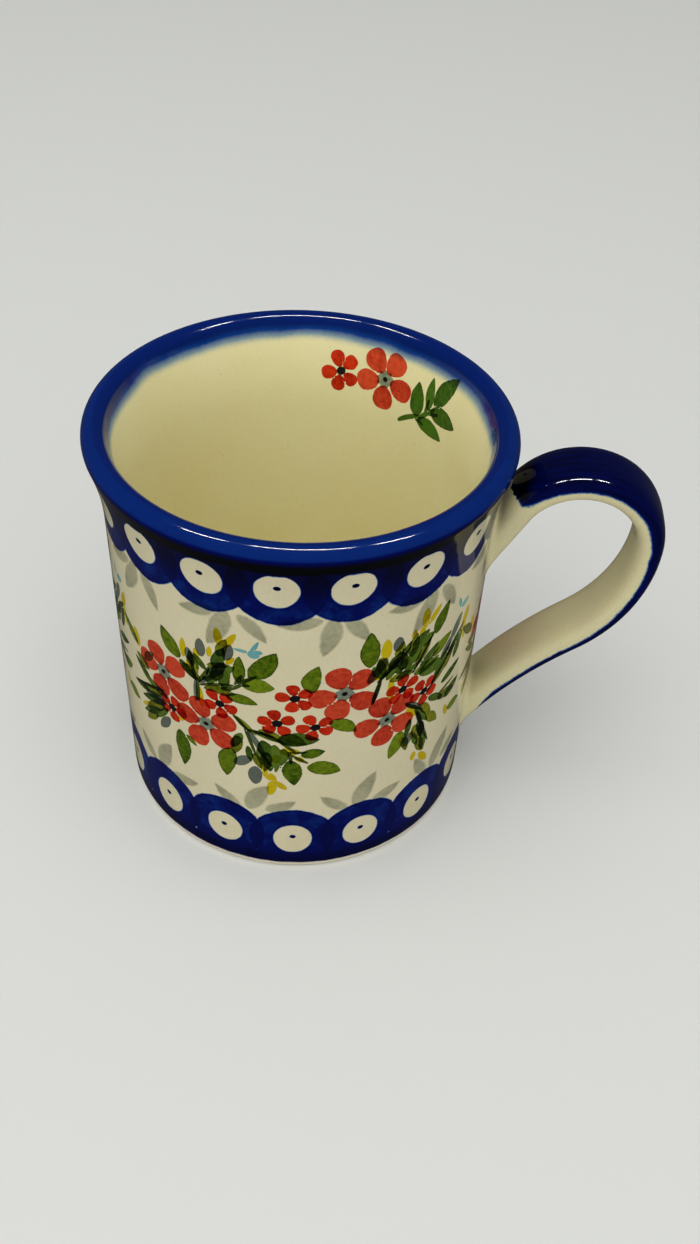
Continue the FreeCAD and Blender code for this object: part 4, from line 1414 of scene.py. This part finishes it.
def painted_outside(name):
    """The whole painted wall: ground, garland, eyes, rim and foot bands."""
    recipe = Recipe(name)
    shake, mottle = shaken_edge(recipe), mottled(recipe)
    _, _, height = recipe.split(recipe.place)
    ground = garland_over(recipe, cream_ground(recipe), shake, mottle)
    colour = cobalt_over(recipe, ground, outside_cobalt(recipe, height, shake, mottle))
    waves = recipe.noise(8, detail=1, shift=3)
    return recipe.finish_with(colour, roughness=0.07, bump=waves, bump_height=0.03)


outside_coat.data.materials.append(painted_outside("painted_outside_glaze"))

# %% [markdown]
# ## The inside and the handle
#
# Inside, the rim was sprayed, so the blue fades into the cream over a few millimetres instead of
# ending at a line. A ramp over the height would fade too evenly, so slow noise moves it up and down.

# %% Inside finish
FADE_TOP, FADE_BOTTOM, FADE_COAT = HEIGHT - 1.3, HEIGHT - 5.8, 0.92
FADE_DRIFT, FADE_GRAIN = 1.4, 0.25


def cream_inside(name):
    """The inside of the bowl, with the faded rim and the one sprig."""
    recipe = Recipe(name)
    shake, mottle = shaken_edge(recipe), mottled(recipe)
    _, _, height = recipe.split(recipe.place)
    # Painted light: the inside's cream is brighter than the outside's.
    ground = cream_ground(recipe, LIT_INSIDE_CREAM, LIT_INSIDE_CREAM_SHADE)
    ground = petalled(recipe, ground, "big_petal", "coral", shake, mottle)
    ground = petalled(recipe, ground, "small_petal", "small_red", shake, mottle)
    ground = leafy(recipe, ground, "leaf", "sprig_leaf", shake, mottle, SPRIG_VARY)
    ground = flicked(recipe, ground, "stem", "stem", "sprig_leaf", shake, mottle)
    ground = flower_middles(recipe, ground, shake)
    drift = recipe.noise(16, detail=1, shift=11) * FADE_DRIFT + mottle * FADE_GRAIN
    fade = (height + drift).smooth(FADE_BOTTOM, FADE_TOP)
    colour = cobalt_over(recipe, ground, fade * FADE_COAT)
    waves = recipe.noise(8, detail=1, shift=3)
    return recipe.finish_with(colour, roughness=0.08, bump=waves, bump_height=0.03)


inside_coat.data.materials.append(cream_inside("cream_inside_glaze"))

# %% [markdown]
# The handle is cream where it faces the wall. Its stroke of cobalt is made near black for its first
# few millimetres, just under the rim, and the brush's hairs leave long thin streaks down the strap.
# Noise that is squeezed across the strap and stretched along it gives those streaks, and since it is
# read from the stored places, it follows the strap round its bends.

# %% Handle finish
STROKE_COAT, STROKE_CLOUDS, STREAK_DEPTH = 1.6, 0.3, 1.6
DARK_START_LENGTH, DARK_START_COAT = 7.0, 4.0
HAIRS_ACROSS, HAIRS_ALONG, HAIR_DETAIL = 0.9, 0.08, 3.0
BRISTLES = 0.2
STROKE_EDGE_FROM, STROKE_EDGE_TO = -0.15, 1.0


def cobalt_handle(name):
    """The cream strap with its blue stroke."""
    recipe = Recipe(name)
    edge, along, _ = recipe.stored("stroke")
    bristle = shaken_edge(recipe) + recipe.noise(0.5, detail=3, shift=23) * BRISTLES
    cover = (edge.less_from(0.0) + bristle).smooth(STROKE_EDGE_FROM, STROKE_EDGE_TO)
    # Near black for the stroke's first few millimetres, just under the rim.
    dark_start = (along - STROKE_START).smooth(DARK_START_LENGTH, 0.0) * DARK_START_COAT
    hairs = recipe.add("ShaderNodeCombineXYZ", {0: edge * HAIRS_ACROSS, 1: along * HAIRS_ALONG})
    inputs = {"Vector": hairs, "Scale": 1.0, "Detail": HAIR_DETAIL}
    streaks = recipe.add("ShaderNodeTexNoise", inputs) - 0.5
    clouds = recipe.noise(6, detail=3, shift=5) * STROKE_CLOUDS
    thickness = cover * (clouds + streaks * STREAK_DEPTH + dark_start + STROKE_COAT)
    colour = cobalt_over(recipe, cream_ground(recipe, STRAP_CREAM, CREAM_SHADE), thickness)
    waves = recipe.noise(7, detail=1, shift=3)
    return recipe.finish_with(colour, roughness=0.08, bump=waves, bump_height=0.04)


handle_coat.data.materials.append(cobalt_handle("cobalt_handle_glaze"))

# %% [markdown]
# ## Putting the pieces in the frame
#
# Each coat takes the place of the plain glaze solid that it was built around, and each seam that of
# its slip joint. The clay and the base glaze keep their shapes and only take a finish: they could be
# turned again as the coats were, but their plain shapes are already right.

# %% Pieces and finishes
FINISHED_NODES = {"cup_body": stoneware, "handle": stoneware, "base_glaze": base_cream}
NEW_PIECES = (
    (outside_coat, "outside_glaze", "painted_outside_glaze"),
    (inside_coat, "inside_glaze", "cream_inside_glaze"),
    (handle_coat, "handle_glaze", "cobalt_handle_glaze"),
    (upper_seam, "upper_slip_joint", "luting_slip"),
    (lower_seam, "lower_slip_joint", "luting_slip"),
)

for seam in (upper_seam, lower_seam):
    seam.data.materials.append(stoneware)
for node, finish in FINISHED_NODES.items():
    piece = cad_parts[node]
    if not piece.material_slots:
        piece.data.materials.append(finish)
    for holder in piece.material_slots:
        holder.material = finish
for piece, node, finish_slot in NEW_PIECES:
    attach(piece, "root")
    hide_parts(node)
print("pieces:", [piece.name for piece, _, _ in NEW_PIECES])

# %% [markdown]
# ## Floor
#
# A product table is one pale matt sheet. A curved backdrop would hide its far edge, but this camera
# looks down, so a wide flat floor fills the view. The floor is kept out of the mug's gloss, because
# its pale reflection would lie as a haze over the dark blue.

# %% Floor
FLOOR_HALF = 4.0
FLOOR_GREY = opaque(0.72, 0.73, 0.71)
FLOOR_ROUGH, FLOOR_UNEVEN, FLOOR_GLOSS = 0.8, 0.05, 0.1


def pale_floor():
    """A wide matt floor with a faint unevenness."""
    reach = FLOOR_HALF
    places = [(-reach, -reach, 0), (reach, -reach, 0), (reach, reach, 0), (-reach, reach, 0)]
    mesh = bpy.data.meshes.new("floor")
    mesh.from_pydata(places, [], [(0, 1, 2, 3)])
    floor = bpy.data.objects.new("floor", mesh)
    bpy.context.scene.collection.objects.link(floor)
    recipe = Recipe("pale_floor")
    roughness = recipe.noise(40, detail=2) * FLOOR_UNEVEN + FLOOR_ROUGH
    mesh.materials.append(recipe.finish_with(FLOOR_GREY, roughness, gloss=FLOOR_GLOSS))
    floor.visible_glossy = False


pale_floor()
print(f"floor: {2 * FLOOR_HALF:.0f} m wide")

# %% [markdown]
# ## Camera
#
# The mug is seen from above and a little to the right, from a hand's distance, so the inside and the
# handle both show. A Track To constraint would aim the camera, but it can't add the slight roll of a
# camera held by hand, so its three directions are worked out from a heading, a dip and a roll.

# %% Camera
CAMERA_PLACE = (0.0210, -0.2178, 0.2390)
CAMERA_HEADING, CAMERA_DIP, CAMERA_ROLL = -2.43, 42.32, 3.19
LENS, SENSOR, NEAREST = 37.62, 36.0, 0.01


def aim_camera():
    """The camera at its height and tilt, rolled a little as a hand would hold it."""
    heading, dip, roll = (math.radians(a) for a in (CAMERA_HEADING, CAMERA_DIP, CAMERA_ROLL))
    level = math.cos(dip)
    ahead = np.array([math.sin(heading) * level, math.cos(heading) * level, -math.sin(dip)])
    right = np.cross(ahead, (0, 0, 1))
    right /= np.linalg.norm(right)
    up = np.cross(right, ahead)
    across = math.cos(roll) * right + math.sin(roll) * up
    over = -math.sin(roll) * right + math.cos(roll) * up
    data = bpy.data.cameras.new("camera")
    data.lens, data.sensor_width, data.clip_start = LENS, SENSOR, NEAREST
    camera = bpy.data.objects.new("camera", data)
    bpy.context.scene.collection.objects.link(camera)
    turn = Matrix(np.stack([across, over, -ahead], 1).tolist()).to_4x4()
    camera.matrix_world = Matrix.Translation(CAMERA_PLACE) @ turn
    bpy.context.scene.camera = camera


aim_camera()
print("camera at", CAMERA_PLACE)

# %% [markdown]
# ## Light
#
# A glossy glaze shows its lights, so they are chosen by what they leave on the rim: three long soft
# strips overhead draw the broken white streaks. They light only the gloss. A large soft lamp and a
# pale room do the rest, the lamp with no mark of its own in the gloss, and the room dimmer there than
# it is as light.

# %% Lights
STRIP_SPANS = ((-0.5, -0.27), (-0.19, 0.19), (0.29, 0.52))
STRIP_HEIGHT, STRIP_BACK, STRIP_DEEP = 1.0, 0.06, 0.035
STRIP_GLOW = 260.0
SOFT_PLACE, SOFT_SIZE, SOFT_GLOW = (-0.12, -0.35, 1.0), 0.9, 1.9
SKY = opaque(1.0, 1.0, 0.98)
SKY_SEEN, SKY_LIGHT, SKY_GLOSS = 0.66, 0.48, 0.06
SKY_FRONT, FRONT_FROM, FRONT_TO = 1.2, 0.3, -1.0


def lamp(name, place, wide, deep, glow):
    """A flat lamp that shines straight down. Its glow is how bright its face is, whatever its size."""
    data = bpy.data.lights.new(name, "AREA")
    data.shape, data.size, data.size_y = "RECTANGLE", wide, deep
    data.energy = glow * math.pi * wide * deep
    light = bpy.data.objects.new(name, data)
    light.location = place
    bpy.context.scene.collection.objects.link(light)
    return light


def pale_sky():
    """A pale room, brighter in front of the mug, and dimmer in the glaze than it is as light."""
    world = bpy.data.worlds.new("room")
    bpy.context.scene.world = world
    world.use_nodes = True
    tree = world.node_tree
    tree.nodes["Background"].inputs["Color"].default_value = SKY
    ray = tree.nodes.new("ShaderNodeLightPath")
    seen, glossy = (Wire(tree, ray.outputs[kind]) for kind in ("Is Camera Ray", "Is Glossy Ray"))
    way = Wire(tree, tree.nodes.new("ShaderNodeTexCoord").outputs["Generated"])
    parts = tree.nodes.new("ShaderNodeSeparateXYZ")
    plug(tree, way, parts.inputs[0])
    front = Wire(tree, parts.outputs["Y"]).smooth(FRONT_FROM, FRONT_TO)
    light = front * (SKY_FRONT * SKY_LIGHT) + SKY_LIGHT
    plain = seen.maths("MAXIMUM", glossy).less_from(1.0)
    strength = light * plain + seen * SKY_SEEN + glossy * SKY_GLOSS
    plug(tree, strength, tree.nodes["Background"].inputs["Strength"])


for number, (start, end) in enumerate(STRIP_SPANS):
    place = ((start + end) / 2, STRIP_BACK, STRIP_HEIGHT)
    strip = lamp(f"strip_{number}", place, end - start, STRIP_DEEP, STRIP_GLOW)
    strip.visible_diffuse = False
soft = lamp("soft_light", SOFT_PLACE, SOFT_SIZE, SOFT_SIZE, SOFT_GLOW)
soft.visible_glossy = False
pale_sky()
bpy.context.scene.view_settings.view_transform = "Standard"

# %% [markdown]
# ## Sizes
#
# The painted mug has to stay as big as the clay one.
